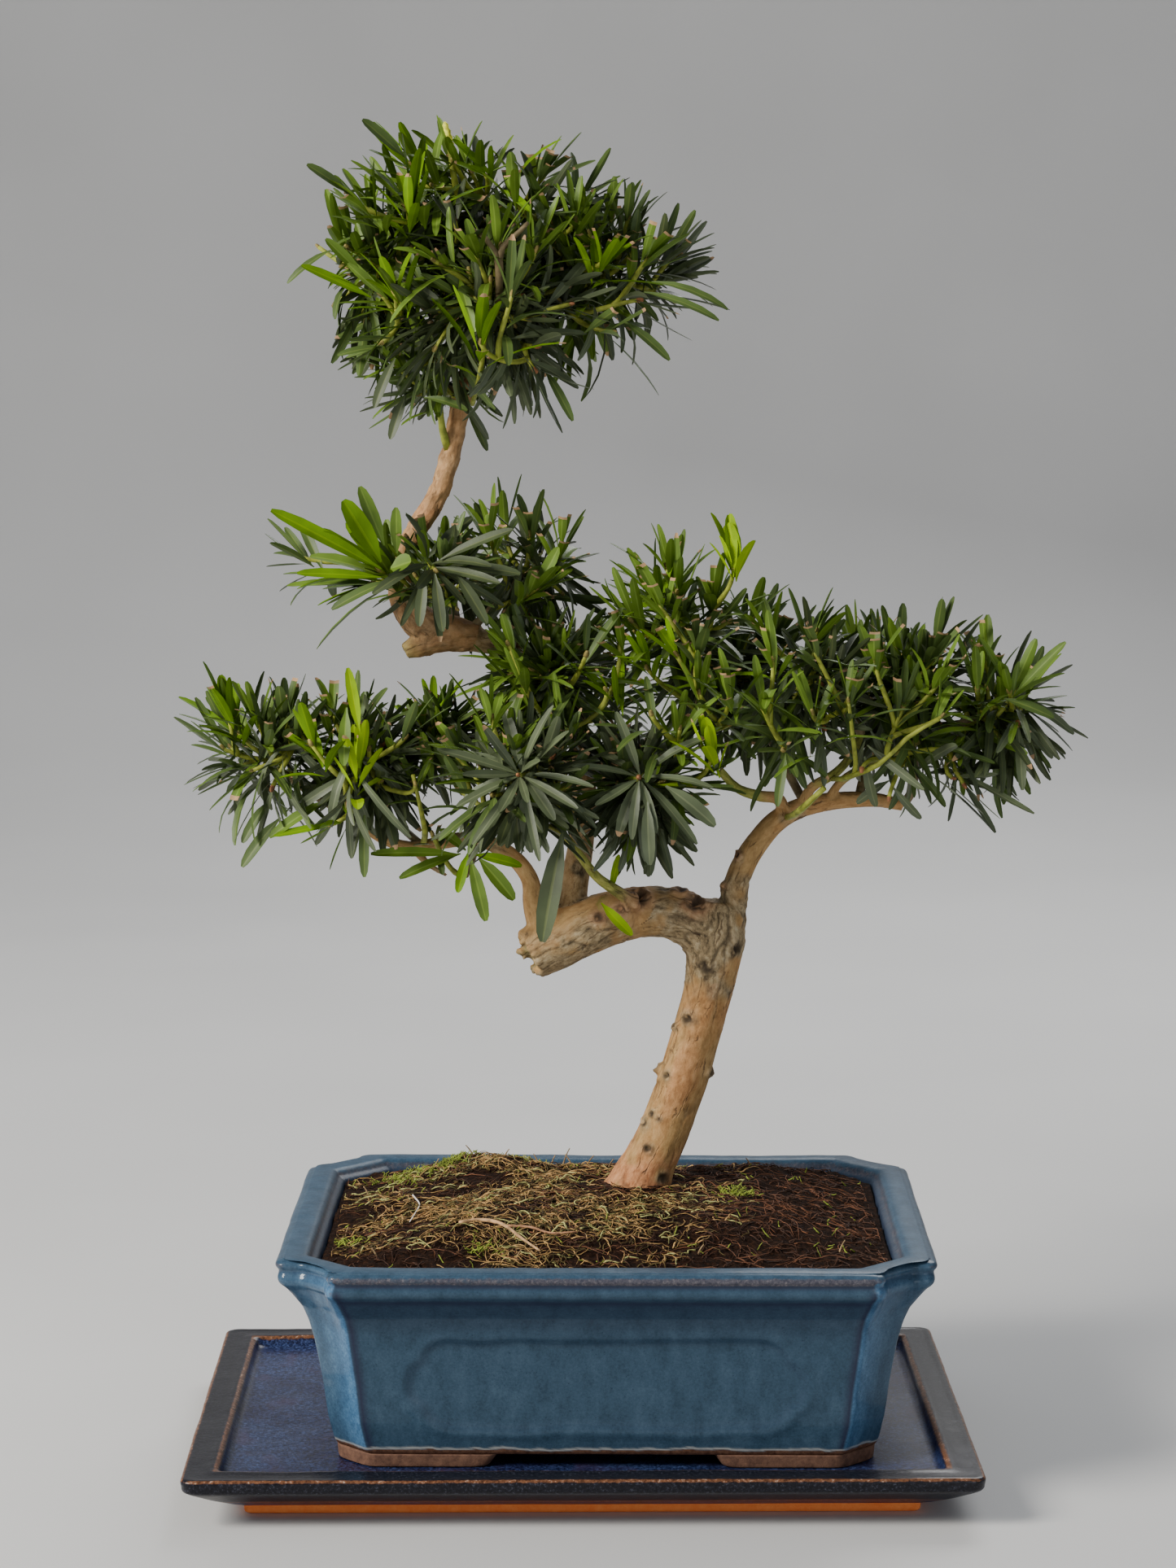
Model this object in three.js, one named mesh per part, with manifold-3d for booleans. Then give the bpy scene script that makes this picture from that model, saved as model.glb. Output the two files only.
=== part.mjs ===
// A podocarpus bonsai in a glazed clay pot, standing on its drip tray.
// Millimetres, +Z up. The origin is the middle of the tray's flat underside, and the front faces -Y.

import * as THREE from "three";
import { mergeVertices } from "three/addons/utils/BufferGeometryUtils.js";
import Module from "manifold-3d";

// ---------------------------------------------------------------- driving dimensions

const GAP = 0.3; // between pieces that rest on or grow out of each other

// The drip tray: a shallow glazed plate on a smaller unglazed foot.
const TRAY = { length: 300, depth: 208, height: 20, corner: 5, cornerSteps: 3 };
const TRAY_RECESS = 4;
const TRAY_LIP = 12;
const TRAY_BAND = 5;
const TRAY_FOOT = { inset: 22, height: 4 };

// The pot: a rectangle with notched corners, wide at the rim and drawn in to its base.
const POT = { length: 250.5, depth: 200.5, height: 80, turn: -0.02, x: 10.3, y: 2.7 };
const POT_FOOT = { height: 4.6, width: 13, frontLeg: 62, sideLeg: 46, slope: 2 };
const POT_FLOOR = 7;
const RIM_WIDTH = 13;
const LONG_WALL_SLOPE = 0.75; // the long walls draw in less than the short ones
const NOTCH = { base: 13, round: 2.5, hollow: 0.5 };
const OPENING_CHAMFER = 19;
const DRAIN = { radius: 7, spacing: 90, sides: 12 };

// Outer profile, from the rim down: depth below the rim, inset from the rim's edge, notch's size
// and how far the notch is a true notch (1) or a plain chamfer (0).
const POT_PROFILE = [
  { down: 0, inset: 1.2, notch: 21, hollow: 1 },
  { down: 1.6, inset: 0, notch: 21, hollow: 1 },
  { down: 6, inset: 0.8, notch: 21, hollow: 1 },
  { down: 7.2, inset: 2.6, notch: 20, hollow: 0.95 },
  { down: 11, inset: 3.8, notch: 19, hollow: 0.85 },
  { down: 14.5, inset: 6.6, notch: 17.5, hollow: 0.6 },
  { down: 19.5, inset: 10.3, notch: 16, hollow: 0.4 },
  { down: 25, inset: 12.6, notch: 15, hollow: 0.25 },
  { down: 33, inset: 14.8, notch: 14, hollow: 0.1 },
  { down: 48, inset: 17.5, notch: 13.5, hollow: 0 },
  { down: 63, inset: 19.4, notch: 13, hollow: 0 },
];
const POT_BASE_INSET = 22.5;

// Inner profile, from the rim down: a short lip, a small step and the sloping wall.
const CAVITY_PROFILE = [
  { down: 0, inset: RIM_WIDTH },
  { down: 3, inset: RIM_WIDTH + 0.6 },
  { down: 3.8, inset: RIM_WIDTH + 2.4 },
  { down: 17, inset: RIM_WIDTH + 5.4 },
  { down: 33, inset: RIM_WIDTH + 9.4 },
  { down: 68, inset: RIM_WIDTH + 14 },
];

// The soil: a mound that stands a little higher than the rim in the middle, with heaps of mossy
// earth on it, whose places are in the pot's own frame.
const SOIL = { edgeDown: 5, top: 100, level: 0.38, lumps: 0.9, seed: 11 };
const SOIL_RINGS = [0.2, 0.38, 0.54, 0.7, 0.85];
const SOIL_STEPS = { long: 7, short: 5 }; // along the pot's long and short walls
const HEAPS = [
  { x: -52, y: 57, radius: 22, height: 5.5 },
  { x: -86, y: 12, radius: 19, height: 3 },
  { x: -50, y: -38, radius: 24, height: 3.4 },
  { x: -8, y: -52, radius: 22, height: 3 },
  { x: -22, y: 8, radius: 20, height: 1.6 },
  { x: 38, y: -46, radius: 22, height: 2.6 },
  { x: 78, y: -20, radius: 18, height: 1.8 },
  { x: 70, y: 40, radius: 20, height: 2.4 },
];
const SEAT = { x: 24.4, y: 30.3, radius: 20, sides: 20 };

// Limbs: centre line and radius at each knot, from the root of the limb to its tip.
const TRUNK_SIDES = 12;
const BOUGH_SIDES = 8;
const TWIG_SIDES = 6;
const LIMBS = {
  trunk_lower: {
    sides: TRUNK_SIDES,
    steps: 14,
    lumps: 0.05,
    flare: 0.12,
    knots: [
      [22.6, 30.5, 94, 15.4],
      [25, 30.2, 101.5, 13],
      [28, 29.6, 109, 11],
      [33, 29, 119.5, 10.4],
      [38.6, 28, 136, 10.3],
      [43.6, 27, 153, 10.3],
      [49, 26, 173, 10.1],
      [52, 25, 187, 10.5],
      [54, 24.4, 200, 12],
      [55, 24, 211, 11.6],
      [55.4, 24, 217, 8.4],
    ],
  },
  trunk_arm: {
    parent: "trunk_lower",
    sides: TRUNK_SIDES,
    steps: 12,
    lumps: 0.06,
    knots: [
      [53, 24.4, 200, 11.4],
      [46, 23.6, 207.5, 11],
      [36, 22.4, 212, 10.4],
      [24, 20.5, 213, 10.4],
      [12, 18, 211, 11],
      [0, 15.4, 207, 11.4],
      [-10, 13.4, 202.2, 11.6],
      [-20.5, 11.6, 197, 10.6],
    ],
  },
  trunk_rise: {
    parent: "trunk_arm",
    sides: BOUGH_SIDES,
    steps: 13,
    lumps: 0.06,
    knots: [
      [-4, 19, 208, 7.2],
      [-2.5, 27, 222, 6],
      [0.5, 33, 240, 5.4],
      [1.6, 35.5, 257, 5.2],
      [1, 36.5, 275, 5.1],
      [-5, 37, 294, 5],
      [-16, 36.6, 309, 5],
      [-29, 36, 317.5, 5],
      [-41, 35, 320, 5],
    ],
  },
  trunk_bend: {
    parent: "trunk_rise",
    sides: BOUGH_SIDES,
    steps: 7,
    lumps: 0.1,
    knots: [
      [-37, 35.4, 319.8, 4.6],
      [-46, 34.6, 320.6, 5.4],
      [-56, 33.6, 320.4, 5.6],
      [-64, 33, 318, 5],
      [-69.6, 32.6, 315.4, 3.6],
    ],
  },
  trunk_top: {
    parent: "trunk_bend",
    sides: BOUGH_SIDES,
    steps: 16,
    lumps: 0.06,
    knots: [
      [-58, 33.6, 321, 5.4],
      [-68, 32.8, 330, 5.2],
      [-71.4, 32, 341, 5],
      [-69.6, 31.4, 353, 4.8],
      [-64.6, 31.2, 364, 4.6],
      [-57, 31.4, 376, 4.5],
      [-52.4, 31.8, 389, 4.4],
      [-49, 32, 402, 4.4],
      [-44.6, 32.2, 425, 4],
      [-38.6, 32.4, 446, 3.4],
      [-34, 32.4, 466, 2.6],
    ],
  },
  bough_left: {
    parent: "trunk_arm",
    sides: BOUGH_SIDES,
    steps: 14,
    lumps: 0.06,
    knots: [
      [-15, 12.6, 202, 5],
      [-18.6, 13.6, 217, 4.4],
      [-20, 15, 227, 3.8],
      [-27, 16.4, 236, 3.6],
      [-41, 18, 242.6, 3.3],
      [-54, 19, 241.4, 3.1],
      [-66, 19.6, 239, 2.9],
      [-78, 20, 242.4, 2.5],
      [-89, 20.4, 249.6, 2.1],
    ],
  },
  bough_left_dead: {
    parent: "bough_left",
    sides: TWIG_SIDES,
    steps: 4,
    lumps: 0.08,
    knots: [
      [-66, 19.4, 238.4, 1.9],
      [-60, 17.6, 232.6, 1.7],
      [-52.6, 16, 228.2, 1.1],
    ],
  },
  bough_front: {
    parent: "trunk_arm",
    sides: TWIG_SIDES,
    steps: 9,
    lumps: 0.08,
    knots: [
      [21, 14, 214, 3.6],
      [18, 7, 220.6, 3],
      [6.4, 1.4, 230, 2.4],
      [-1, -2.6, 240, 2.2],
      [-6.4, -5, 247, 2],
      [-17, -7.6, 253.4, 1.7],
    ],
  },
  bough_right: {
    parent: "trunk_lower",
    sides: BOUGH_SIDES,
    steps: 16,
    lumps: 0.06,
    knots: [
      [57.6, 24, 205, 6.4],
      [60.6, 24, 215, 5.9],
      [62.4, 24.2, 225, 5.4],
      [66.4, 24.6, 234, 5.1],
      [71.6, 25.2, 241.4, 4.9],
      [77.6, 26, 248, 4.7],
      [85.6, 27.2, 252.8, 4.3],
      [96, 29, 255.4, 3.9],
      [108, 31.6, 256.4, 3.6],
      [119, 34.6, 255.8, 3.2],
      [129.6, 37.4, 253.4, 2.7],
    ],
  },
  bough_right_inner: {
    parent: "bough_right",
    sides: TWIG_SIDES,
    steps: 7,
    lumps: 0.06,
    knots: [
      [81, 26, 250.6, 3],
      [78.6, 21.6, 258, 2.8],
      [71, 18.6, 259.6, 2.6],
      [62, 16.4, 263, 2.3],
      [54.6, 15.6, 270.6, 2],
    ],
  },
  bough_right_middle: {
    parent: "bough_right",
    sides: TWIG_SIDES,
    steps: 7,
    lumps: 0.06,
    knots: [
      [88, 27.6, 253, 2.8],
      [91.6, 23.6, 262, 2.5],
      [101, 21, 268.4, 2.3],
      [107.4, 19.6, 276, 2],
      [111, 19, 284, 1.8],
    ],
  },
  bough_right_outer: {
    parent: "bough_right",
    sides: TWIG_SIDES,
    steps: 8,
    lumps: 0.06,
    knots: [
      [98, 29.4, 255.4, 2.4],
      [104, 26, 264.6, 2.2],
      [116, 22.6, 272.4, 2],
      [130, 20.4, 279.4, 1.8],
      [142, 19.6, 285, 1.6],
    ],
  },
};

// Old wood that fills the inside of a bend, as a second sweep in the limb's own node.
const WEBS = {
  trunk_bend: {
    sides: BOUGH_SIDES,
    steps: 5,
    lumps: 0.06,
    knots: [
      [-66, 33, 331, 4.4],
      [-59, 33.6, 327, 6],
      [-50, 34.4, 324, 6.2],
      [-41, 35, 321.6, 4.8],
    ],
  },
};

// Old pruning knots that stand out of the bark: limb, place along it, turn about it, and radius.
const KNOTS = [
  { limb: "trunk_lower", share: 0.34, turn: 3.4, radius: 4.2 },
  { limb: "trunk_lower", share: 0.5, turn: 2.9, radius: 4 },
  { limb: "trunk_lower", share: 0.66, turn: 4.6, radius: 3.8 },
  { limb: "trunk_arm", share: 0.42, turn: 4.2, radius: 5.4 },
];

// Foliage masses: the limb that bears the stem and the place along it (1 is its tip), then the
// middle and half sizes of the space that the mass keeps to.
const MASSES = {
  top_peak: { limb: "trunk_top", share: 1, centre: [-34, 33, 493], half: [58, 46, 39] },
  top_left: { limb: "trunk_top", share: 0.8, centre: [-76, 30, 466], half: [41, 40, 46] },
  top_right: { limb: "trunk_top", share: 0.86, centre: [10, 32, 462], half: [52, 42, 46] },
  top_front: { limb: "trunk_top", share: 0.76, centre: [-34, -4, 452], half: [46, 36, 44] },
  top_back: { limb: "trunk_top", share: 0.82, centre: [-34, 70, 456], half: [48, 36, 46] },
  top_low: { limb: "trunk_top", share: 0.66, centre: [-54, 28, 424], half: [34, 30, 28] },
  middle_left: { limb: "trunk_top", share: 0.2, centre: [-92, 28, 352], half: [34, 27, 27] },
  middle_front: { limb: "trunk_top", share: 0.12, centre: [-55, 8, 345], half: [33, 25, 30] },
  middle_right: { limb: "trunk_bend", share: 0.3, centre: [-20, 32, 350], half: [34, 30, 38] },
  middle_back: { limb: "trunk_bend", share: 0.34, centre: [-52, 64, 344], half: [38, 28, 30] },
  left_outer: { limb: "bough_left", share: 1, centre: [-124, 18, 275], half: [34, 35, 40] },
  left_inner: { limb: "bough_left", share: 0.86, centre: [-84, 12, 276], half: [28, 30, 38] },
  left_back: { limb: "bough_left", share: 0.72, centre: [-98, 50, 270], half: [38, 28, 32] },
  left_shoot: { limb: "bough_left", share: 0.5, centre: [-46, 12, 227], half: [18, 14, 24] },
  centre_front: { limb: "bough_front", share: 1, centre: [-26, -12, 268], half: [44, 30, 36] },
  centre_right: { limb: "trunk_rise", share: 0.36, centre: [24, 2, 264], half: [32, 28, 34] },
  centre_left: { limb: "trunk_rise", share: 0.6, centre: [-56, 28, 282], half: [28, 26, 26] },
  centre_top: { limb: "trunk_rise", share: 0.72, centre: [-12, 18, 306], half: [36, 30, 30] },
  centre_back: { limb: "trunk_rise", share: 0.56, centre: [-4, 68, 282], half: [44, 32, 42] },
  right_inner: { limb: "bough_right_inner", share: 1, centre: [42, 22, 324], half: [40, 34, 45] },
  right_middle: { limb: "bough_right_middle", share: 1, centre: [86, 12, 308], half: [36, 34, 42] },
  right_outer: { limb: "bough_right", share: 1, centre: [130, 28, 300], half: [34, 34, 40] },
  right_tip: { limb: "bough_right_outer", share: 1, centre: [166, 20, 296], half: [33, 34, 38] },
  right_back: { limb: "bough_right", share: 0.6, centre: [66, 64, 303], half: [42, 30, 38] },
  right_far_back: { limb: "bough_right", share: 0.82, centre: [122, 64, 298], half: [40, 28, 34] },
};

// What every mass is grown from. A leaf here stands for two or three of the real plant's.
const LEAF = { length: 41, least: 23, width: 9.4, thickness: 1.1, waist: 0.58, free: 4 };
const WHORL = { spacing: 54, fewest: 4, leaves: 7, depth: 10, sunk: 0.35 };
const TILT = { least: 0.5, most: 1.45 }; // of a whorl's leaves from its twig, tip to foot
const STEM = { root: 2.1, end: 1.4, reach: 0.9 };
const TWIG = { root: 1.3, end: 1, reach: 0.46, rise: 5 };
const CLEAR = 0.4; // from any leaf or twig to another piece
const SPACE_SHARE = 1.12; // how far past the middle line between two spaces a leaf may reach
const SEED_STEP = 100;
const GOLDEN_ANGLE = Math.PI * (3 - Math.sqrt(5));

const LOOKS = {
  tray: { color: 0x1d2f6b, roughness: 0.25, metalness: 0 },
  pot: { color: 0x2f6d90, roughness: 0.3, metalness: 0 },
  clay: { color: 0x8a5a3c, roughness: 0.85, metalness: 0 },
  soil: { color: 0x33231a, roughness: 1, metalness: 0 },
  bark: { color: 0xb08a5c, roughness: 0.9, metalness: 0 },
  greenBark: { color: 0x7d8448, roughness: 0.8, metalness: 0 },
  foliage: { color: 0x3c6a2b, roughness: 0.5, metalness: 0 },
};

// ---------------------------------------------------------------- solids

const wasm = await Module();
wasm.setup();

function solidOf(geometry) {
  const bare = new THREE.BufferGeometry();
  bare.setAttribute("position", geometry.getAttribute("position"));
  bare.setIndex(geometry.getIndex());
  const merged = mergeVertices(bare, 1e-4);
  const corners = [];
  const index = merged.getIndex().array;
  for (let i = 0; i < index.length; i += 3) {
    const [a, b, c] = index.slice(i, i + 3);
    if (a !== b && b !== c && c !== a) corners.push(a, b, c);
  }
  return new wasm.Manifold(
    new wasm.Mesh({
      numProp: 3,
      vertProperties: new Float32Array(merged.getAttribute("position").array),
      triVerts: new Uint32Array(corners),
    }),
  );
}

function geometryOf(solid) {
  const mesh = solid.getMesh();
  const places = new Float32Array(mesh.numVert * 3);
  for (let i = 0; i < mesh.numVert; i += 1) {
    const start = i * mesh.numProp;
    places.set(mesh.vertProperties.subarray(start, start + 3), i * 3);
  }
  const geometry = new THREE.BufferGeometry();
  geometry.setAttribute("position", new THREE.BufferAttribute(places, 3));
  geometry.setIndex(new THREE.BufferAttribute(mesh.triVerts, 1));
  geometry.computeVertexNormals();
  return geometry;
}

// The biggest separate body of a solid, so that a cut leaves no scrap behind.
function mainBody(solid) {
  return solid.decompose().reduce((best, body) => (body.volume() > best.volume() ? body : best));
}

function middleOf(points) {
  const sum = points.reduce((total, point) => total.add(point), new THREE.Vector3());
  return sum.divideScalar(points.length);
}

// A closed skin over a stack of rings, as a cylinder whose every ring is moved into place. The
// first ring is the upper end, and each ring turns anticlockwise seen from that end.
function stackRings(rings) {
  const sides = rings[0].length;
  const levels = rings.length - 1;
  const geometry = new THREE.CylinderGeometry(1, 1, 1, sides, levels);
  const position = geometry.getAttribute("position");
  for (let i = 0; i < position.count; i += 1) {
    const across = position.getX(i);
    const along = position.getZ(i);
    const ring = rings[Math.round((0.5 - position.getY(i)) * levels)];
    const side = Math.round((Math.atan2(across, along) / (2 * Math.PI)) * sides);
    const onAxis = Math.hypot(across, along) < 0.5;
    const point = onAxis ? middleOf(ring) : ring[(side + sides) % sides];
    position.setXYZ(i, point.x, point.y, point.z);
  }
  return geometry;
}

// Repeatable random numbers from 0 to 1.
function seeded(seed) {
  let state = seed * 2654435761;
  return () => {
    state = (state + 0x6d2b79f5) | 0;
    let mixed = Math.imul(state ^ (state >>> 15), state | 1);
    mixed ^= mixed + Math.imul(mixed ^ (mixed >>> 7), mixed | 61);
    return ((mixed ^ (mixed >>> 14)) >>> 0) / 4294967296;
  };
}

// ---------------------------------------------------------------- tray

// A rectangle with round corners, anticlockwise seen from above.
function roundedRing(length, depth, corner, steps, z) {
  const ring = [];
  for (const [turn, x, y] of [[-0.5, 1, -1], [0, 1, 1], [0.5, -1, 1], [1, -1, -1]]) {
    for (let step = 0; step <= steps; step += 1) {
      const angle = (turn + (0.5 * step) / steps) * Math.PI;
      ring.push(
        new THREE.Vector3(
          x * (length / 2 - corner) + corner * Math.cos(angle),
          y * (depth / 2 - corner) + corner * Math.sin(angle),
          z,
        ),
      );
    }
  }
  return ring;
}

function trayGeometry() {
  const floor = TRAY.height - TRAY_RECESS;
  const bandFoot = TRAY.height - TRAY_BAND;
  const footEdge = TRAY_FOOT.inset;
  const profile = [
    [TRAY_LIP + 4, floor],
    [TRAY_LIP + 1.5, floor + 0.8],
    [TRAY_LIP, TRAY.height - 0.7],
    [TRAY_LIP - 1, TRAY.height],
    [1, TRAY.height],
    [0, TRAY.height - 0.8],
    [0.3, bandFoot],
    [2.4, bandFoot - 1.4],
    [footEdge - 4, TRAY_FOOT.height + 1.4],
    [footEdge - 1.4, TRAY_FOOT.height],
    [footEdge, TRAY_FOOT.height - 0.3],
    [footEdge + 0.3, 0],
  ];
  const rings = profile.map(([inset, z]) =>
    roundedRing(TRAY.length - 2 * inset, TRAY.depth - 2 * inset, TRAY.corner, TRAY.cornerSteps, z),
  );
  return stackRings(rings);
}

// ---------------------------------------------------------------- pot and soil

const POT_BOTTOM = TRAY.height - TRAY_RECESS + GAP;
const RIM_TOP = POT_BOTTOM + POT.height;
const BODY_BOTTOM = POT_BOTTOM + POT_FOOT.height + GAP;

// One corner, as distances back along the edge that arrives and forward along the edge that
// leaves: a chamfer that deepens into a notch with a chamfered inner corner.
function cornerPlaces(notch, hollow) {
  const round = NOTCH.round;
  const inner = notch * NOTCH.hollow;
  const notched = [
    [notch + round, 0],
    [notch, round],
    [notch, inner],
    [inner, notch],
    [round, notch],
    [0, notch + round],
  ];
  const shares = [0, 0.12, 0.38, 0.62, 0.88, 1];
  return shares.map((share, i) => [
    THREE.MathUtils.lerp(notch * (1 - share), notched[i][0], hollow),
    THREE.MathUtils.lerp(notch * share, notched[i][1], hollow),
  ]);
}

function halfDepthAt(inset) {
  return POT.depth / 2 - Math.min(inset, RIM_WIDTH) - Math.max(0, inset - RIM_WIDTH) * LONG_WALL_SLOPE;
}

// The pot's outline at one height, anticlockwise seen from above, in the pot's own frame.
function potRing(inset, notch, hollow, z) {
  const halfLength = POT.length / 2 - inset;
  const halfDepth = halfDepthAt(inset);
  const corner = cornerPlaces(notch, hollow);
  const ring = [];
  for (const [back, on] of corner) ring.push([halfLength - back, on - halfDepth]);
  for (const [back, on] of corner) ring.push([halfLength - on, halfDepth - back]);
  for (const [back, on] of corner) ring.push([back - halfLength, halfDepth - on]);
  for (const [back, on] of corner) ring.push([on - halfLength, back - halfDepth]);
  return ring.map(([x, y]) => new THREE.Vector3(x, y, z));
}

function potGeometry() {
  const inside = CAVITY_PROFILE.map(({ down, inset }) =>
    potRing(inset, OPENING_CHAMFER, 0, RIM_TOP - down),
  );
  const outside = POT_PROFILE.map(({ down, inset, notch, hollow }) =>
    potRing(inset, notch, hollow, RIM_TOP - down),
  );
  const base = potRing(POT_BASE_INSET, NOTCH.base, 0, BODY_BOTTOM);
  let solid = solidOf(stackRings([...inside.reverse(), ...outside, base]));
  for (const side of [-1, 1]) {
    const drill = new THREE.CylinderGeometry(DRAIN.radius, DRAIN.radius, POT.height, DRAIN.sides);
    drill.rotateX(Math.PI / 2);
    drill.translate((side * DRAIN.spacing) / 2, 0, BODY_BOTTOM);
    solid = solid.subtract(solidOf(drill));
  }
  return geometryOf(solid);
}

// An L-shaped foot under one corner of the pot, with sloped ends.
function footGeometry(xSide, ySide) {
  const halfLength = POT.length / 2 - POT_BASE_INSET;
  const halfDepth = halfDepthAt(POT_BASE_INSET);
  const { width, frontLeg, sideLeg, slope } = POT_FOOT;
  const chamfer = NOTCH.base;
  const ringAt = (z, pull) => {
    const outline = [
      [chamfer, pull],
      [frontLeg - pull, pull],
      [frontLeg - pull, width],
      [width, width],
      [width, sideLeg - pull],
      [pull, sideLeg - pull],
      [pull, chamfer],
    ];
    const ring = outline.map(
      ([x, y]) => new THREE.Vector3(xSide * (halfLength - x), ySide * (halfDepth - y), z),
    );
    return xSide * ySide > 0 ? ring : ring.reverse();
  };
  return stackRings([ringAt(BODY_BOTTOM - GAP, 0), ringAt(POT_BOTTOM, slope)]);
}

// The cavity wall's inset at any depth below the rim.
function cavityInset(down) {
  const below = CAVITY_PROFILE.findIndex((row) => row.down > down);
  const [upper, lower] = [CAVITY_PROFILE[below - 1], CAVITY_PROFILE[below]];
  return THREE.MathUtils.mapLinear(down, upper.down, lower.down, upper.inset, lower.inset);
}

// How high the heaps stand at a place.
function heaped(point) {
  return HEAPS.reduce((height, heap) => {
    const away = Math.hypot(point.x - heap.x, point.y - heap.y) / heap.radius;
    return height + heap.height * Math.exp(-(away ** 2));
  }, 0);
}

// Height of the soil at a place and by how far out it lies (0 at the trunk, 1 at the wall).
function soilHeight(point, outward, random) {
  const edge = RIM_TOP - SOIL.edgeDown;
  const swell = 1 - THREE.MathUtils.smoothstep(outward, SOIL.level, 1.05);
  const level = THREE.MathUtils.lerp(edge, SOIL.top + 1, swell);
  return level + heaped(point) + (random() - 0.5) * SOIL.lumps;
}

// A pot ring with its four walls, which each leave a corner's last point, cut into equal steps.
function splitWalls(ring) {
  const perCorner = ring.length / 4;
  return ring.flatMap((point, i) => {
    if ((i + 1) % perCorner > 0) return [point];
    const steps = (i + 1) % (2 * perCorner) > 0 ? SOIL_STEPS.short : SOIL_STEPS.long;
    const next = ring[(i + 1) % ring.length];
    return Array.from({ length: steps }, (_, step) => point.clone().lerp(next, step / steps));
  });
}

function soilGeometry() {
  const random = seeded(SOIL.seed);
  const seat = seatInPot();
  const sideRings = CAVITY_PROFILE.slice(3).map(({ down, inset }) =>
    splitWalls(potRing(inset + GAP, OPENING_CHAMFER, 0, RIM_TOP - down)),
  );
  const edgeInset = cavityInset(SOIL.edgeDown) + GAP;
  const wall = splitWalls(potRing(edgeInset, OPENING_CHAMFER, 0, RIM_TOP - SOIL.edgeDown));
  const topRings = SOIL_RINGS.map((share) =>
    wall.map((edge) => {
      const point = seat.clone().lerp(edge, share);
      return point.setZ(soilHeight(point, share, random));
    }),
  );
  const floorZ = BODY_BOTTOM + POT_FLOOR + GAP;
  sideRings[sideRings.length - 1].forEach((point) => point.setZ(floorZ));
  const level = new THREE.CylinderGeometry(SEAT.radius, SEAT.radius, 10, SEAT.sides);
  level.rotateX(Math.PI / 2);
  level.translate(seat.x, seat.y, SOIL.top + 5);
  const mound = solidOf(stackRings([...topRings, wall, ...sideRings]));
  return geometryOf(mound.subtract(solidOf(level)));
}

// The place of the trunk's foot in the pot's own, slightly turned frame.
function seatInPot() {
  const seat = new THREE.Vector3(SEAT.x - POT.x, SEAT.y - POT.y, 0);
  return seat.applyAxisAngle(new THREE.Vector3(0, 0, 1), -POT.turn);
}

// ---------------------------------------------------------------- trunk and boughs

function limbCurve(limb) {
  const places = limb.knots.map(([x, y, z]) => new THREE.Vector3(x, y, z));
  return new THREE.CatmullRomCurve3(places, false, "centripetal");
}

function radiusAt(limb, curve, share) {
  const place = curve.getUtoTmapping(share) * (limb.knots.length - 1);
  const before = Math.min(Math.floor(place), limb.knots.length - 2);
  return THREE.MathUtils.lerp(limb.knots[before][3], limb.knots[before + 1][3], place - before);
}

// How far the section is out of round at one place: shallow ribs that wander, and root lobes.
function unevenness(limb, share, angle) {
  const ribs = Math.sin(2 * angle + 9 * share) + 0.7 * Math.sin(5 * angle - 14 * share);
  const roots = (limb.flare ?? 0) * Math.max(0, 1 - share / 0.16) * Math.cos(5 * angle + 0.6);
  return 1 + limb.lumps * ribs * 0.6 + roots;
}

// The limb's solid, or the room that its neighbours leave for it when grow is over 0.
function limbSolid(limb, grow) {
  const curve = limbCurve(limb);
  const frames = curve.computeFrenetFrames(limb.steps);
  const rings = [];
  for (let step = limb.steps; step >= 0; step -= 1) {
    const share = step / limb.steps;
    const radius = radiusAt(limb, curve, share);
    const ends = (step === limb.steps ? 1 : 0) - (step === 0 ? 1 : 0);
    const middle = curve.getPointAt(share).addScaledVector(frames.tangents[step], ends * grow);
    const ring = [];
    for (let side = 0; side < limb.sides; side += 1) {
      const angle = (2 * Math.PI * side) / limb.sides;
      const out = radius * unevenness(limb, share, angle) + grow;
      ring.push(
        middle
          .clone()
          .addScaledVector(frames.normals[step], out * Math.cos(angle))
          .addScaledVector(frames.binormals[step], out * Math.sin(angle)),
      );
    }
    rings.push(ring);
  }
  return solidOf(stackRings(rings));
}

// A rounded knot of old wood on the side of a limb.
function knotSolid(knot, grow) {
  const limb = LIMBS[knot.limb];
  const curve = limbCurve(limb);
  const frames = curve.computeFrenetFrames(limb.steps);
  const step = Math.round(knot.share * limb.steps);
  const share = step / limb.steps;
  const out = radiusAt(limb, curve, share) - knot.radius * 0.35;
  const middle = curve
    .getPointAt(share)
    .addScaledVector(frames.normals[step], out * Math.cos(knot.turn))
    .addScaledVector(frames.binormals[step], out * Math.sin(knot.turn));
  const ball = new THREE.IcosahedronGeometry(knot.radius + grow);
  ball.translate(middle.x, middle.y, middle.z);
  return solidOf(ball);
}

// A limb with the knots and the web that grow out of it.
function wholeLimb(name, grow) {
  const knots = KNOTS.filter((knot) => knot.limb === name).map((knot) => knotSolid(knot, grow));
  const webs = WEBS[name] ? [limbSolid(WEBS[name], grow)] : [];
  return wasm.Manifold.union([limbSolid(LIMBS[name], grow), ...knots, ...webs]);
}

function growLimbs() {
  const solids = {};
  for (const [name, limb] of Object.entries(LIMBS)) {
    let solid = wholeLimb(name, 0);
    if (limb.parent) solid = solid.subtract(wholeLimb(limb.parent, GAP));
    else solid = solid.trimByPlane([0, 0, 1], SOIL.top + GAP);
    if (name === "bough_left") solid = solid.subtract(wholeLimb("trunk_rise", GAP));
    solids[name] = mainBody(solid);
  }
  return solids;
}

// ---------------------------------------------------------------- foliage

// Every limb, stem, twig and leaf that is already in place, to test new ones against.
const placed = [];

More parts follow.
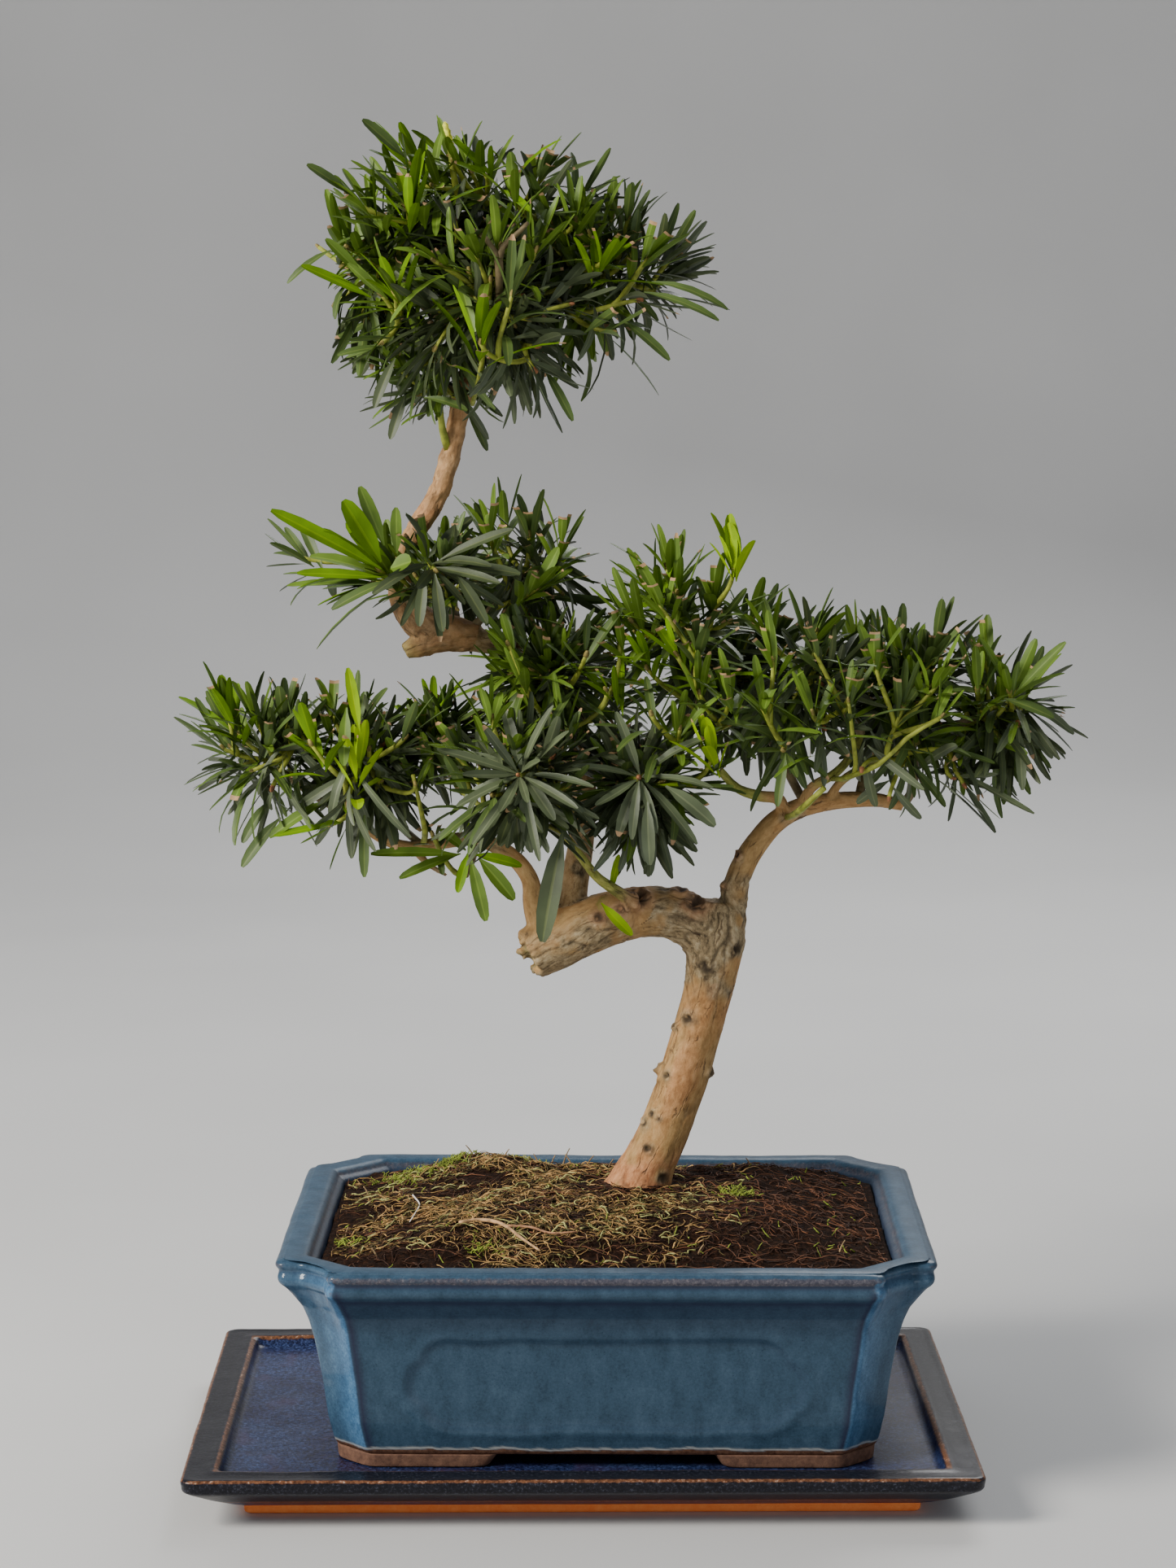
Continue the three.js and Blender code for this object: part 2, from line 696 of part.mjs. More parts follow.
function boxOf(solid) {
  const { min, max } = solid.boundingBox();
  return new THREE.Box3(new THREE.Vector3(...min), new THREE.Vector3(...max));
}

// A piece belongs to a node, and a twig and its leaves share a group.
function place(node, group, solid) {
  placed.push({ node, group, solid, box: boxOf(solid) });
}

// Whether a probe touches nothing but the pieces that it may touch.
function isFree(mayTouch, probe) {
  const box = boxOf(probe);
  return placed.every(
    (other) =>
      mayTouch(other) || !other.box.intersectsBox(box) || probe.intersect(other.solid).isEmpty(),
  );
}

// How far out of the middle of a mass's space a point lies: 1 is on the space's edge.
function outwardIn(mass, point) {
  const [x, y, z] = mass.centre;
  const [a, b, c] = mass.half;
  return Math.hypot((point.x - x) / a, (point.y - y) / b, (point.z - z) / c);
}

function inOwnSpace(name, point) {
  const own = outwardIn(MASSES[name], point);
  if (own > 1) return false;
  return Object.entries(MASSES).every(
    ([other, mass]) => other === name || own < outwardIn(mass, point) * SPACE_SHARE,
  );
}

// A three-sided bar between two points.
function barSolid(from, to, rootRadius, endRadius) {
  const length = from.distanceTo(to);
  const geometry = new THREE.CylinderGeometry(endRadius, rootRadius, length, 3);
  geometry.translate(0, length / 2, 0);
  const direction = to.clone().sub(from).normalize();
  const up = THREE.Object3D.DEFAULT_UP;
  geometry.applyQuaternion(new THREE.Quaternion().setFromUnitVectors(up, direction));
  geometry.translate(from.x, from.y, from.z);
  return solidOf(geometry);
}

// A keeled leaf blade, from its sunk root to its tip, widest past the middle. With room over 0 it
// is the space that the leaf needs, from where it leaves its whorl.
function leafSolid(leaf, room) {
  const along = (distance) => leaf.root.clone().addScaledVector(leaf.along, distance);
  const across = new THREE.Vector3().crossVectors(leaf.along, leaf.face).normalize();
  const half = LEAF.width / 2 + room;
  const waist = along(leaf.length * LEAF.waist).addScaledVector(leaf.face, room);
  const ring = [
    waist.clone().addScaledVector(across, half),
    waist.clone().addScaledVector(leaf.face, -LEAF.thickness - 2 * room),
    waist.clone().addScaledVector(across, -half),
  ];
  const tip = along(leaf.length + room);
  const root = along(room > 0 ? LEAF.free : 0);
  return solidOf(stackRings([[tip, tip, tip], ring, [root, root, root]]));
}

// Any unit vector square to a direction, turned about it by an angle.
function squareTo(direction, angle) {
  const seed = Math.abs(direction.z) < 0.8 ? new THREE.Vector3(0, 0, 1) : new THREE.Vector3(1, 0, 0);
  return seed.cross(direction).normalize().applyAxisAngle(direction, angle);
}

// The stem of a mass, from the middle of its limb nearly to the middle of its space.
function stemOf(mass) {
  const root = limbCurve(LIMBS[mass.limb]).getPointAt(mass.share);
  return [root, root.clone().lerp(new THREE.Vector3(...mass.centre), STEM.reach)];
}

function stemSolid(mass) {
  const [root, end] = stemOf(mass);
  const stem = barSolid(root, end, STEM.root, STEM.end);
  return mainBody(stem.subtract(wholeLimb(mass.limb, GAP)));
}

// A whorl of leaves about the end of a twig, each kept only where it is free and in the space.
function growWhorl(name, group, tip, direction, random) {
  const leaves = [];
  const start = random() * 2 * Math.PI;
  for (let i = 0; i < WHORL.leaves; i += 1) {
    const share = i / (WHORL.leaves - 1);
    const out = squareTo(direction, start + i * GOLDEN_ANGLE);
    const tilt = THREE.MathUtils.lerp(TILT.most, TILT.least, share) + 0.2 * (random() - 0.5);
    const leaf = {
      root: tip
        .clone()
        .addScaledVector(direction, -WHORL.depth * (1 - share) - 1)
        .addScaledVector(out, WHORL.sunk),
      along: direction.clone().multiplyScalar(Math.cos(tilt)).addScaledVector(out, Math.sin(tilt)),
      face: direction.clone().multiplyScalar(Math.sin(tilt)).addScaledVector(out, -Math.cos(tilt)),
      length: LEAF.length * (0.88 + 0.24 * random()),
    };
    for (; leaf.length >= LEAF.least; leaf.length *= 0.88) {
      const end = leaf.root.clone().addScaledVector(leaf.along, leaf.length);
      const waist = leaf.root.clone().addScaledVector(leaf.along, leaf.length * LEAF.waist);
      if (!inOwnSpace(name, end) || !inOwnSpace(name, waist)) continue;
      const blade = leafSolid(leaf, 0);
      if (!isFree((other) => other.node === name, blade)) continue;
      if (!isFree((other) => other.group === group, leafSolid(leaf, CLEAR))) continue;
      leaves.push(blade);
      break;
    }
  }
  return leaves;
}

// Whether a skin stays closed when its corners are rounded to a thousandth of a millimetre.
function staysClosed(solid) {
  const mesh = solid.getMesh();
  const corner = (vertex) =>
    mesh.vertProperties
      .subarray(vertex * mesh.numProp, vertex * mesh.numProp + 3)
      .map((value) => Math.round(value * 1000))
      .join();
  const edges = new Set();
  for (let i = 0; i < mesh.triVerts.length; i += 3) {
    const [a, b, c] = [0, 1, 2].map((k) => corner(mesh.triVerts[i + k]));
    if (a === b || b === c || c === a) continue;
    for (const edge of [`${a} ${b}`, `${b} ${c}`, `${c} ${a}`]) {
      if (edges.has(edge)) return false;
      edges.add(edge);
    }
  }
  return [...edges].every((edge) => edges.has(edge.split(" ").reverse().join(" ")));
}

// One mass: its stem, twigs spread evenly over its space, and a whorl of leaves on each twig.
function growMass(name, mass, seed) {
  const random = seeded(seed);
  const [stemRoot, stemEnd] = stemOf(mass);
  const [a, b, c] = mass.half;
  const pieces = [stemSolid(mass)];
  const size = Math.cbrt(a * b * c);
  const twigs = Math.max(WHORL.fewest, Math.round((4 * Math.PI * size ** 2) / WHORL.spacing ** 2));
  const turn = random() * 2 * Math.PI;
  for (let i = 0; i < twigs; i += 1) {
    const height = 1 - (2 * i + 1) / twigs;
    const across = Math.sqrt(1 - height * height);
    const angle = turn + i * GOLDEN_ANGLE;
    const reach = TWIG.reach * (0.86 + 0.28 * random());
    const outward = new THREE.Vector3(across * Math.cos(angle), across * Math.sin(angle), height);
    outward.multiply(new THREE.Vector3(a, b, c));
    const tip = new THREE.Vector3(...mass.centre).addScaledVector(outward, reach);
    tip.z += TWIG.rise * (1 - Math.abs(height));
    const root = stemRoot.clone().lerp(stemEnd, 0.45 + (0.52 * (i + 0.5)) / twigs);
    const direction = tip.clone().sub(root).normalize();
    const group = `${name} ${i}`;
    const twig = barSolid(root, tip, TWIG.root, TWIG.end);
    const room = barSolid(root.clone().lerp(tip, 0.3), tip, TWIG.root + CLEAR, TWIG.root + CLEAR);
    if (!inOwnSpace(name, tip) || !isFree((other) => other.group === name, room)) continue;
    if (!isFree((other) => other.node === name, twig)) continue;
    const leaves = growWhorl(name, group, tip, direction, random);
    if (!leaves.length) continue;
    [twig, ...leaves].forEach((solid) => place(name, group, solid));
    pieces.push(twig, ...leaves);
  }
  return mainBody(wasm.Manifold.union(pieces));
}

// A mass whose joined skin has a sliver too thin to keep is grown again from the next seed.
function growClosedMass(name, mass, firstSeed) {
  const before = placed.length;
  for (let seed = firstSeed; ; seed += 1) {
    const solid = growMass(name, mass, seed);
    if (staysClosed(solid)) return solid;
    placed.length = before;
  }
}

function growFoliage(limbs) {
  Object.entries(limbs).forEach(([name, solid]) => place(name, name, solid));
  Object.entries(MASSES).forEach(([name, mass]) => place(name, name, stemSolid(mass)));
  const solids = {};
  Object.entries(MASSES).forEach(([name, mass], i) => {
    solids[name] = growClosedMass(name, mass, SEED_STEP * (i + 1));
  });
  return solids;
}

// ---------------------------------------------------------------- assembly

function piece(name, geometry, look) {
  const mesh = new THREE.Mesh(geometry, new THREE.MeshStandardMaterial(LOOKS[look]));
  mesh.name = name;
  return mesh;
}

const bonsai = new THREE.Group();
bonsai.add(piece("drip_tray", trayGeometry(), "tray"));

const potGroup = new THREE.Group();
potGroup.position.set(POT.x, POT.y, 0);
potGroup.rotation.z = POT.turn;
potGroup.add(piece("pot", potGeometry(), "pot"));
potGroup.add(piece("soil", soilGeometry(), "soil"));
for (const [place, ySide] of [["front", -1], ["back", 1]]) {
  for (const [hand, xSide] of [["left", -1], ["right", 1]]) {
    potGroup.add(piece(`pot_foot_${place}_${hand}`, footGeometry(xSide, ySide), "clay"));
  }
}
bonsai.add(potGroup);

const GREEN_LIMBS = ["bough_front", "bough_right_middle", "bough_right_outer"];
const limbs = growLimbs();
for (const [name, solid] of Object.entries(limbs)) {
  bonsai.add(piece(name, geometryOf(solid), GREEN_LIMBS.includes(name) ? "greenBark" : "bark"));
}
for (const [name, solid] of Object.entries(growFoliage(limbs))) {
  bonsai.add(piece(`foliage_${name}`, geometryOf(solid), "foliage"));
}

export default bonsai;
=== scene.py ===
"""Looks of a podocarpus bonsai in a glazed pot on its drip tray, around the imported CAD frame.

Shapes are worked out in millimetres in the CAD frame and turned into metres when a mesh is made.
"""

import math

import bpy
import numpy as np
from mathutils.kdtree import KDTree
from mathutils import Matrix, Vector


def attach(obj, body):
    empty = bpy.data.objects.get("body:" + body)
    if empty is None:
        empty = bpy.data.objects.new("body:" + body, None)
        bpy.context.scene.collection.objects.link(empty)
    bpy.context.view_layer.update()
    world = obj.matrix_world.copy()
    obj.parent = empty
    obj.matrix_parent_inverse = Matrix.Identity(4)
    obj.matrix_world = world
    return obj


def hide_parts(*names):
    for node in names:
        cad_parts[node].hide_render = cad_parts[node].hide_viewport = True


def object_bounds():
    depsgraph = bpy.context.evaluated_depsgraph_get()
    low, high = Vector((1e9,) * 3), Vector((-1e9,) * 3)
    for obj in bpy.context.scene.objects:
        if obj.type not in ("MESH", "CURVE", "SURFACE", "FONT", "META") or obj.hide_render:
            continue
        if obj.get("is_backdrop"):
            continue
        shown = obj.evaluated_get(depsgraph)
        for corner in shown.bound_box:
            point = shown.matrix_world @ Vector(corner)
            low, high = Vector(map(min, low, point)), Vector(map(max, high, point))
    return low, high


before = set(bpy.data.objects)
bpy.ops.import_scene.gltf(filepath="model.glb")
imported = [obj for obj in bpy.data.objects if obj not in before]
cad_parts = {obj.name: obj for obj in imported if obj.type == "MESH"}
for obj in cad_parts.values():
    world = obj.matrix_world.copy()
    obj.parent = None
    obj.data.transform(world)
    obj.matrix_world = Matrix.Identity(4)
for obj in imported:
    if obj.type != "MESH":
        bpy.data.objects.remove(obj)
CAD_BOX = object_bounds()

MM = 0.001
TURN = 2 * math.pi
GOLDEN_ANGLE = math.pi * (3 - math.sqrt(5))
UP = np.array([0.0, 0.0, 1.0])

# ---------------------------------------------------------------- camera and studio

CAMERA = {"place": (-12.76, -1416.94, 447.8), "pitch": 0.127, "yaw": -0.011, "lens": 84.07}
SENSOR = 36
LIGHTS = {
    "key": {"place": (-1350, -800, 1150), "size": 700, "watts": 52, "tint": (1.0, 0.96, 0.9)},
    "fill": {"place": (700, -1600, 230), "size": 600, "watts": 4.6, "tint": (0.9, 0.95, 1.0)},
    "rim": {"place": (500, 1300, 1300), "size": 900, "watts": 18, "tint": (1.0, 1.0, 1.0)},
}
LIGHT_AIM = (0, 0, 230)
SKY = (0.86, 0.9, 1.0)
AMBIENT = 0.29
FLOOR_PROFILE = [(-3200, 0), (1400, 0), (1900, 60), (2300, 300), (2500, 800), (2560, 3200)]
FLOOR_HALF_WIDTH = 3500

# ---------------------------------------------------------------- numbers shared with the CAD source

GAP = 0.3
TRAY = {"length": 300, "depth": 208, "height": 20, "corner": 5, "recess": 4, "lip": 12}
POT = {"length": 250.5, "depth": 200.5, "height": 80, "turn": -0.02, "x": 10.3, "y": 2.7}
POT_FOOT = {"height": 4.6, "width": 13, "front_leg": 62, "side_leg": 46, "slope": 2}
RIM_WIDTH = 13
LONG_WALL_SLOPE = 0.75
NOTCH = {"base": 13, "round": 2.5, "hollow": 0.5}
OPENING_CHAMFER = 19
POT_BOTTOM = TRAY["height"] - TRAY["recess"] + GAP
RIM_TOP = POT_BOTTOM + POT["height"]
BODY_BOTTOM = POT_BOTTOM + POT_FOOT["height"] + GAP
POT_BASE_INSET = 22.5
SOIL = {
    "edge_down": 5, "top": 100, "level": 0.38, "left": -98, "right": 118, "front": -83, "back": 87,
    "inset": 15.9, "rings": 110, "skirt": 4,
}
HEAPS = [  # x and y in the pot's own frame, radius, height
    (-52, 57, 22, 5.5), (-86, 12, 19, 3), (-50, -38, 24, 3.4), (-8, -52, 22, 3), (-22, 8, 20, 1.6),
    (38, -46, 22, 2.6), (78, -20, 18, 1.8), (70, 40, 20, 2.4),
]
SEAT = (24.4, 30.3)
CRUMBS_FROM_TRUNK = (9, 26)

# Limbs: centre line and radius at each knot, in the CAD source's places.
LIMBS = {
    "trunk_lower": [
        (22.6, 30.5, 94, 15.4), (25, 30.2, 101.5, 13), (28, 29.6, 109, 11), (33, 29, 119.5, 10.4),
        (38.6, 28, 136, 10.3), (43.6, 27, 153, 10.3), (49, 26, 173, 10.1), (52, 25, 187, 10.5),
        (54, 24.4, 200, 12), (55, 24, 211, 11.6), (55.4, 24, 217, 8.4),
    ],
    "trunk_arm": [
        (53, 24.4, 200, 11.4), (46, 23.6, 207.5, 11), (36, 22.4, 212, 10.4), (24, 20.5, 213, 10.4),
        (12, 18, 211, 11), (0, 15.4, 207, 11.4), (-10, 13.4, 202.2, 11.6), (-20.5, 11.6, 197, 10.6),
    ],
    "trunk_rise": [
        (-4, 19, 208, 7.2), (-2.5, 27, 222, 6), (0.5, 33, 240, 5.4), (1.6, 35.5, 257, 5.2),
        (1, 36.5, 275, 5.1), (-5, 37, 294, 5), (-16, 36.6, 309, 5), (-29, 36, 317.5, 5),
        (-41, 35, 320, 5),
    ],
    "trunk_bend": [
        (-37, 35.4, 319.8, 4.6), (-46, 34.6, 320.6, 5.4), (-56, 33.6, 320.4, 5.6),
        (-64, 33, 318, 5), (-69.6, 32.6, 315.4, 3.6),
    ],
    "trunk_top": [
        (-58, 33.6, 321, 5.4), (-68, 32.8, 330, 5.2), (-71.4, 32, 341, 5), (-69.6, 31.4, 353, 4.8),
        (-64.6, 31.2, 364, 4.6), (-57, 31.4, 376, 4.5), (-52.4, 31.8, 389, 4.4),
        (-49, 32, 402, 4.4), (-44.6, 32.2, 425, 4), (-38.6, 32.4, 446, 3.4), (-34, 32.4, 466, 2.6),
    ],
    "bough_left": [
        (-15, 12.6, 202, 5), (-18.6, 13.6, 217, 4.4), (-20, 15, 227, 3.8), (-27, 16.4, 236, 3.6),
        (-41, 18, 242.6, 3.3), (-54, 19, 241.4, 3.1), (-66, 19.6, 239, 2.9), (-78, 20, 242.4, 2.5),
        (-89, 20.4, 249.6, 2.1),
    ],
    "bough_left_dead": [(-66, 19.4, 238.4, 1.9), (-60, 17.6, 232.6, 1.7), (-52.6, 16, 228.2, 1.1)],
    "bough_front": [
        (21, 14, 214, 3.6), (18, 7, 220.6, 3), (6.4, 1.4, 230, 2.4), (-1, -2.6, 240, 2.2),
        (-6.4, -5, 247, 2), (-17, -7.6, 253.4, 1.7),
    ],
    "bough_right": [
        (57.6, 24, 205, 6.4), (60.6, 24, 215, 5.9), (62.4, 24.2, 225, 5.4), (66.4, 24.6, 234, 5.1),
        (71.6, 25.2, 241.4, 4.9), (77.6, 26, 248, 4.7), (85.6, 27.2, 252.8, 4.3),
        (96, 29, 255.4, 3.9), (108, 31.6, 256.4, 3.6), (119, 34.6, 255.8, 3.2),
        (129.6, 37.4, 253.4, 2.7),
    ],
    "bough_right_inner": [
        (81, 26, 250.6, 3), (78.6, 21.6, 258, 2.8), (71, 18.6, 259.6, 2.6), (62, 16.4, 263, 2.3),
        (54.6, 15.6, 270.6, 2),
    ],
    "bough_right_middle": [
        (88, 27.6, 253, 2.8), (91.6, 23.6, 262, 2.5), (101, 21, 268.4, 2.3), (107.4, 19.6, 276, 2),
        (111, 19, 284, 1.8),
    ],
    "bough_right_outer": [
        (98, 29.4, 255.4, 2.4), (104, 26, 264.6, 2.2), (116, 22.6, 272.4, 2),
        (130, 20.4, 279.4, 1.8), (142, 19.6, 285, 1.6),
    ],
}
GREEN_LIMBS = ("bough_front", "bough_right_middle", "bough_right_outer", "bough_right_inner")

# Foliage masses: the limb that bears the stem, the place along it, and the middle and half sizes
# of the space that the mass keeps to, as in the CAD source.
MASSES = {
    "top_peak": ("trunk_top", 1, (-34, 33, 493), (58, 46, 39)),
    "top_left": ("trunk_top", 0.8, (-76, 30, 466), (41, 40, 46)),
    "top_right": ("trunk_top", 0.86, (10, 32, 462), (52, 42, 46)),
    "top_front": ("trunk_top", 0.76, (-34, -4, 452), (46, 36, 44)),
    "top_back": ("trunk_top", 0.82, (-34, 70, 456), (48, 36, 46)),
    "top_low": ("trunk_top", 0.66, (-54, 28, 424), (34, 30, 28)),
    "middle_left": ("trunk_top", 0.2, (-92, 28, 352), (34, 27, 27)),
    "middle_front": ("trunk_top", 0.12, (-55, 8, 345), (33, 25, 30)),
    "middle_right": ("trunk_bend", 0.3, (-20, 32, 350), (34, 30, 38)),
    "middle_back": ("trunk_bend", 0.34, (-52, 64, 344), (38, 28, 30)),
    "left_outer": ("bough_left", 1, (-124, 18, 275), (34, 35, 40)),
    "left_inner": ("bough_left", 0.86, (-84, 12, 276), (28, 30, 38)),
    "left_back": ("bough_left", 0.72, (-98, 50, 270), (38, 28, 32)),
    "left_shoot": ("bough_left", 0.5, (-46, 12, 227), (18, 14, 24)),
    "centre_front": ("bough_front", 1, (-26, -12, 268), (44, 30, 36)),
    "centre_right": ("trunk_rise", 0.36, (24, 2, 264), (32, 28, 34)),
    "centre_left": ("trunk_rise", 0.6, (-56, 28, 282), (28, 26, 26)),
    "centre_top": ("trunk_rise", 0.72, (-12, 18, 306), (36, 30, 30)),
    "centre_back": ("trunk_rise", 0.56, (-4, 68, 282), (44, 32, 42)),
    "right_inner": ("bough_right_inner", 1, (42, 22, 324), (40, 34, 45)),
    "right_middle": ("bough_right_middle", 1, (86, 12, 308), (36, 34, 42)),
    "right_outer": ("bough_right", 1, (130, 28, 300), (34, 34, 40)),
    "right_tip": ("bough_right_outer", 1, (166, 20, 296), (33, 34, 38)),
    "right_back": ("bough_right", 0.6, (66, 64, 303), (42, 30, 38)),
    "right_far_back": ("bough_right", 0.82, (122, 64, 298), (40, 28, 34)),
}


# ---------------------------------------------------------------- small tools


def unit(vectors):
    return vectors / np.maximum(np.linalg.norm(vectors, axis=-1, keepdims=True), 1e-9)


def smoothstep(value, low, high):
    share = np.clip((value - low) / (high - low), 0, 1)
    return share * share * (3 - 2 * share)


def lerp(start, end, share):
    return start + (end - start) * share


def bell(value, middle, width):
    """1 at the middle, falling off smoothly over the width."""
    return np.exp(-(((value - middle) / width) ** 2))


def on_ground(x, y):
    return np.stack([x, y, np.zeros_like(x)], -1)


def run_length(path):
    """How far along the path each of its points is."""
    return np.concatenate([[0], np.cumsum(np.linalg.norm(np.diff(path, axis=0), axis=1))])


def at_steps(even, length, rows):
    """The rows of a path at new distances along it."""
    return np.stack([np.interp(even, length, column) for column in rows.T], -1)


def eased(grid, axis):
    """Closed rows of points, each drawn a little towards its two neighbours."""
    return (np.roll(grid, 1, axis) + 2 * grid + np.roll(grid, -1, axis)) / 4


def ease_between_ends(rows):
    rows[1:-1] = (rows[:-2] + 2 * rows[1:-1] + rows[2:]) / 4


def hashed(cells, seed):
    """A repeatable number from 0 to 1 for each whole-number cell."""
    mixed = cells[..., 0] * 73856093 ^ cells[..., 1] * 19349663 ^ cells[..., 2] * 83492791
    mixed = (mixed ^ seed * 2654435761) & 0xFFFFFFFF
    mixed = (mixed ^ mixed >> 15) * 2246822519 & 0xFFFFFFFF
    mixed = (mixed ^ mixed >> 13) * 3266489917 & 0xFFFFFFFF
    return (mixed ^ mixed >> 16) / 4294967295


def noise(points, size, seed, octaves=1):
    """Smooth noise from -1 to 1 whose features are about size across."""
    total = np.zeros(points.shape[:-1])
    weight = 1.0
    for octave in range(octaves):
        place = points / size * 2**octave
        base = np.floor(place).astype(np.int64)
        share = place - base
        share = share * share * (3 - 2 * share)
        value = np.zeros(points.shape[:-1])
        for corner in np.ndindex(2, 2, 2):
            pick = np.array(corner)
            part = np.prod(np.where(pick, share, 1 - share), axis=-1)
            value += part * hashed(base + pick, seed + octave)
        total += weight * (2 * value - 1)
        weight *= 0.5
    return total / (2 - 2 * weight)


def cells(points, size, seed):
    """Distance to the nearest and second nearest jittered cell middle, and the cell's number."""
    place = points / size
    base = np.floor(place).astype(np.int64)
    first = np.full(points.shape[:-1], 9.0)
    second = first.copy()
    number = np.zeros(points.shape[:-1])
    for offset in np.ndindex(3, 3, 3):
        cell = base + np.array(offset) - 1
        middle = cell + np.stack([hashed(cell, seed + axis) for axis in range(3)], -1)
        away = np.linalg.norm(place - middle, axis=-1)
        nearer = away < first
        second = np.where(nearer, first, np.minimum(second, away))
        number = np.where(nearer, hashed(cell, seed + 7), number)
        first = np.where(nearer, away, first)
    return first, second, number


def make_mesh(name, verts, faces, materials, face_materials=None, values=None):
    """A smooth mesh object from points in millimetres and arrays of faces, each array of one size."""
    mesh = bpy.data.meshes.new(name)
    sizes = np.concatenate([np.full(len(part), part.shape[1]) for part in faces])
    loops = np.concatenate([part.ravel() for part in faces])
    starts = np.concatenate([[0], np.cumsum(sizes)[:-1]])
    mesh.vertices.add(len(verts))
    mesh.vertices.foreach_set("co", (np.asarray(verts) * MM).astype(np.float32).ravel())
    mesh.loops.add(len(loops))
    mesh.loops.foreach_set("vertex_index", loops.astype(np.int32))
    mesh.polygons.add(len(sizes))
    mesh.polygons.foreach_set("loop_start", starts.astype(np.int32))
    mesh.polygons.foreach_set("use_smooth", np.ones(len(sizes), bool))
    if face_materials is not None:
        mesh.polygons.foreach_set("material_index", face_materials.astype(np.int32))
    for material in materials:
        mesh.materials.append(material)
    for key, numbers in (values or {}).items():
        numbers = np.asarray(numbers, np.float32)
        places = numbers.ndim == 2 and numbers.shape[1] == 3
        kind, slot = ("FLOAT_VECTOR", "vector") if places else ("FLOAT", "value")
        domain = "CORNER" if len(numbers) == len(loops) else "POINT"
        layer = mesh.attributes.new(key, kind, domain)
        layer.data.foreach_set(slot, numbers.ravel())
    mesh.update(calc_edges=True)
    mesh.validate()
    obj = bpy.data.objects.new(name, mesh)
    bpy.context.scene.collection.objects.link(obj)
    return obj


def finish_piece(obj, slot, nodes=()):
    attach(obj, "root")
    if nodes:
        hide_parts(*nodes)
    return obj


def tube_piece(name, paths, radii, sides, look, slot):
    """One piece of many closed tubes."""
    verts, quads, ends = tubes(np.array(paths), radii, sides)
    finish_piece(make_mesh(name, verts, [quads, ends], [look]), slot)


def grid_faces(rows, columns, first=0, closed=True):
    """Quads over rows of points, each row going round when closed."""
    index = first + np.arange(rows * columns).reshape(rows, columns)
    beside = np.roll(index, -1, axis=1)
    if not closed:
        index, beside = index[:, :-1], beside[:, :-1]
    quads = [index[:-1], beside[:-1], beside[1:], index[1:]]
    return np.stack(quads, -1).reshape(-1, 4)


def ring_mesh(name, verts, look, values=None, close_first=False):
    """A mesh over a stack of rings, closed over its first or its last ring."""
    rows, columns = verts.shape[:2]
    ring = np.arange(columns)[None]
    cap = ring[:, ::-1] if close_first else ring + (rows - 1) * columns
    faces = [grid_faces(rows, columns), cap]
    return make_mesh(name, verts.reshape(-1, 3), faces, [look], None, values)


def tubes(paths, radii, sides):
    """Closed tubes along many paths of equal point count: points, quads and end faces."""
    count, steps = radii.shape
    along = unit(np.gradient(paths, axis=1))
    mean = unit(paths[:, -1] - paths[:, 0])
    helper = np.where(np.abs(mean[:, 2:3]) < 0.85, UP, np.array([1.0, 0.0, 0.0]))
    first = unit(np.cross(along, helper[:, None]))
    second = np.cross(along, first)
    angle = TURN * np.arange(sides) / sides
    spoke = np.cos(angle)[:, None] * first[:, :, None] + np.sin(angle)[:, None] * second[:, :, None]
    verts = paths[:, :, None] + radii[:, :, None, None] * spoke
    index = np.arange(count * steps * sides).reshape(count, steps, sides)
    beside = np.roll(index, -1, axis=2)
    quads = [index[:, :-1], beside[:, :-1], beside[:, 1:], index[:, 1:]]
    ends = np.concatenate([index[:, 0, ::-1], index[:, -1]])
    return verts.reshape(-1, 3), np.stack(quads, -1).reshape(-1, 4), ends


def centripetal(places, samples):
    """A centripetal Catmull-Rom curve through the places, and each sample's place among them."""
    points = np.vstack([2 * places[0] - places[1], places, 2 * places[-1] - places[-2]])
    gaps = np.linalg.norm(np.diff(points, axis=0), axis=1) ** 0.5
    found = []
    share_at = np.linspace(0, len(places) - 1, samples)
    for share in share_at:
        piece = min(int(share), len(places) - 2)
        a, b, c, d = points[piece : piece + 4]
        before, here, after = gaps[piece : piece + 3]
        start = ((b - a) / before - (c - a) / (before + here) + (c - b) / here) * here
        end = ((c - b) / here - (d - b) / (here + after) + (d - c) / after) * here
        t = share - piece
        cubic = 2 * b - 2 * c + start + end
        square = -3 * b + 3 * c - 2 * start - end
        found.append(((cubic * t + square) * t + start) * t + b)
    return np.array(found), share_at


def even_limb(knots, spacing):
    """A limb's centre line and radii at even steps."""
    knots = np.array(knots, float)
    dense, share_at = centripetal(knots[:, :3], 40 * len(knots))
    length = run_length(dense)
    even = np.linspace(0, length[-1], max(4, round(length[-1] / spacing)))
    place = np.interp(even, length, share_at)
    return at_steps(even, length, dense), np.interp(place, np.arange(len(knots)), knots[:, 3])


def even_path(path, steps):
    length = run_length(path)
    return at_steps(np.linspace(0, length[-1], steps), length, path)


# ---------------------------------------------------------------- materials


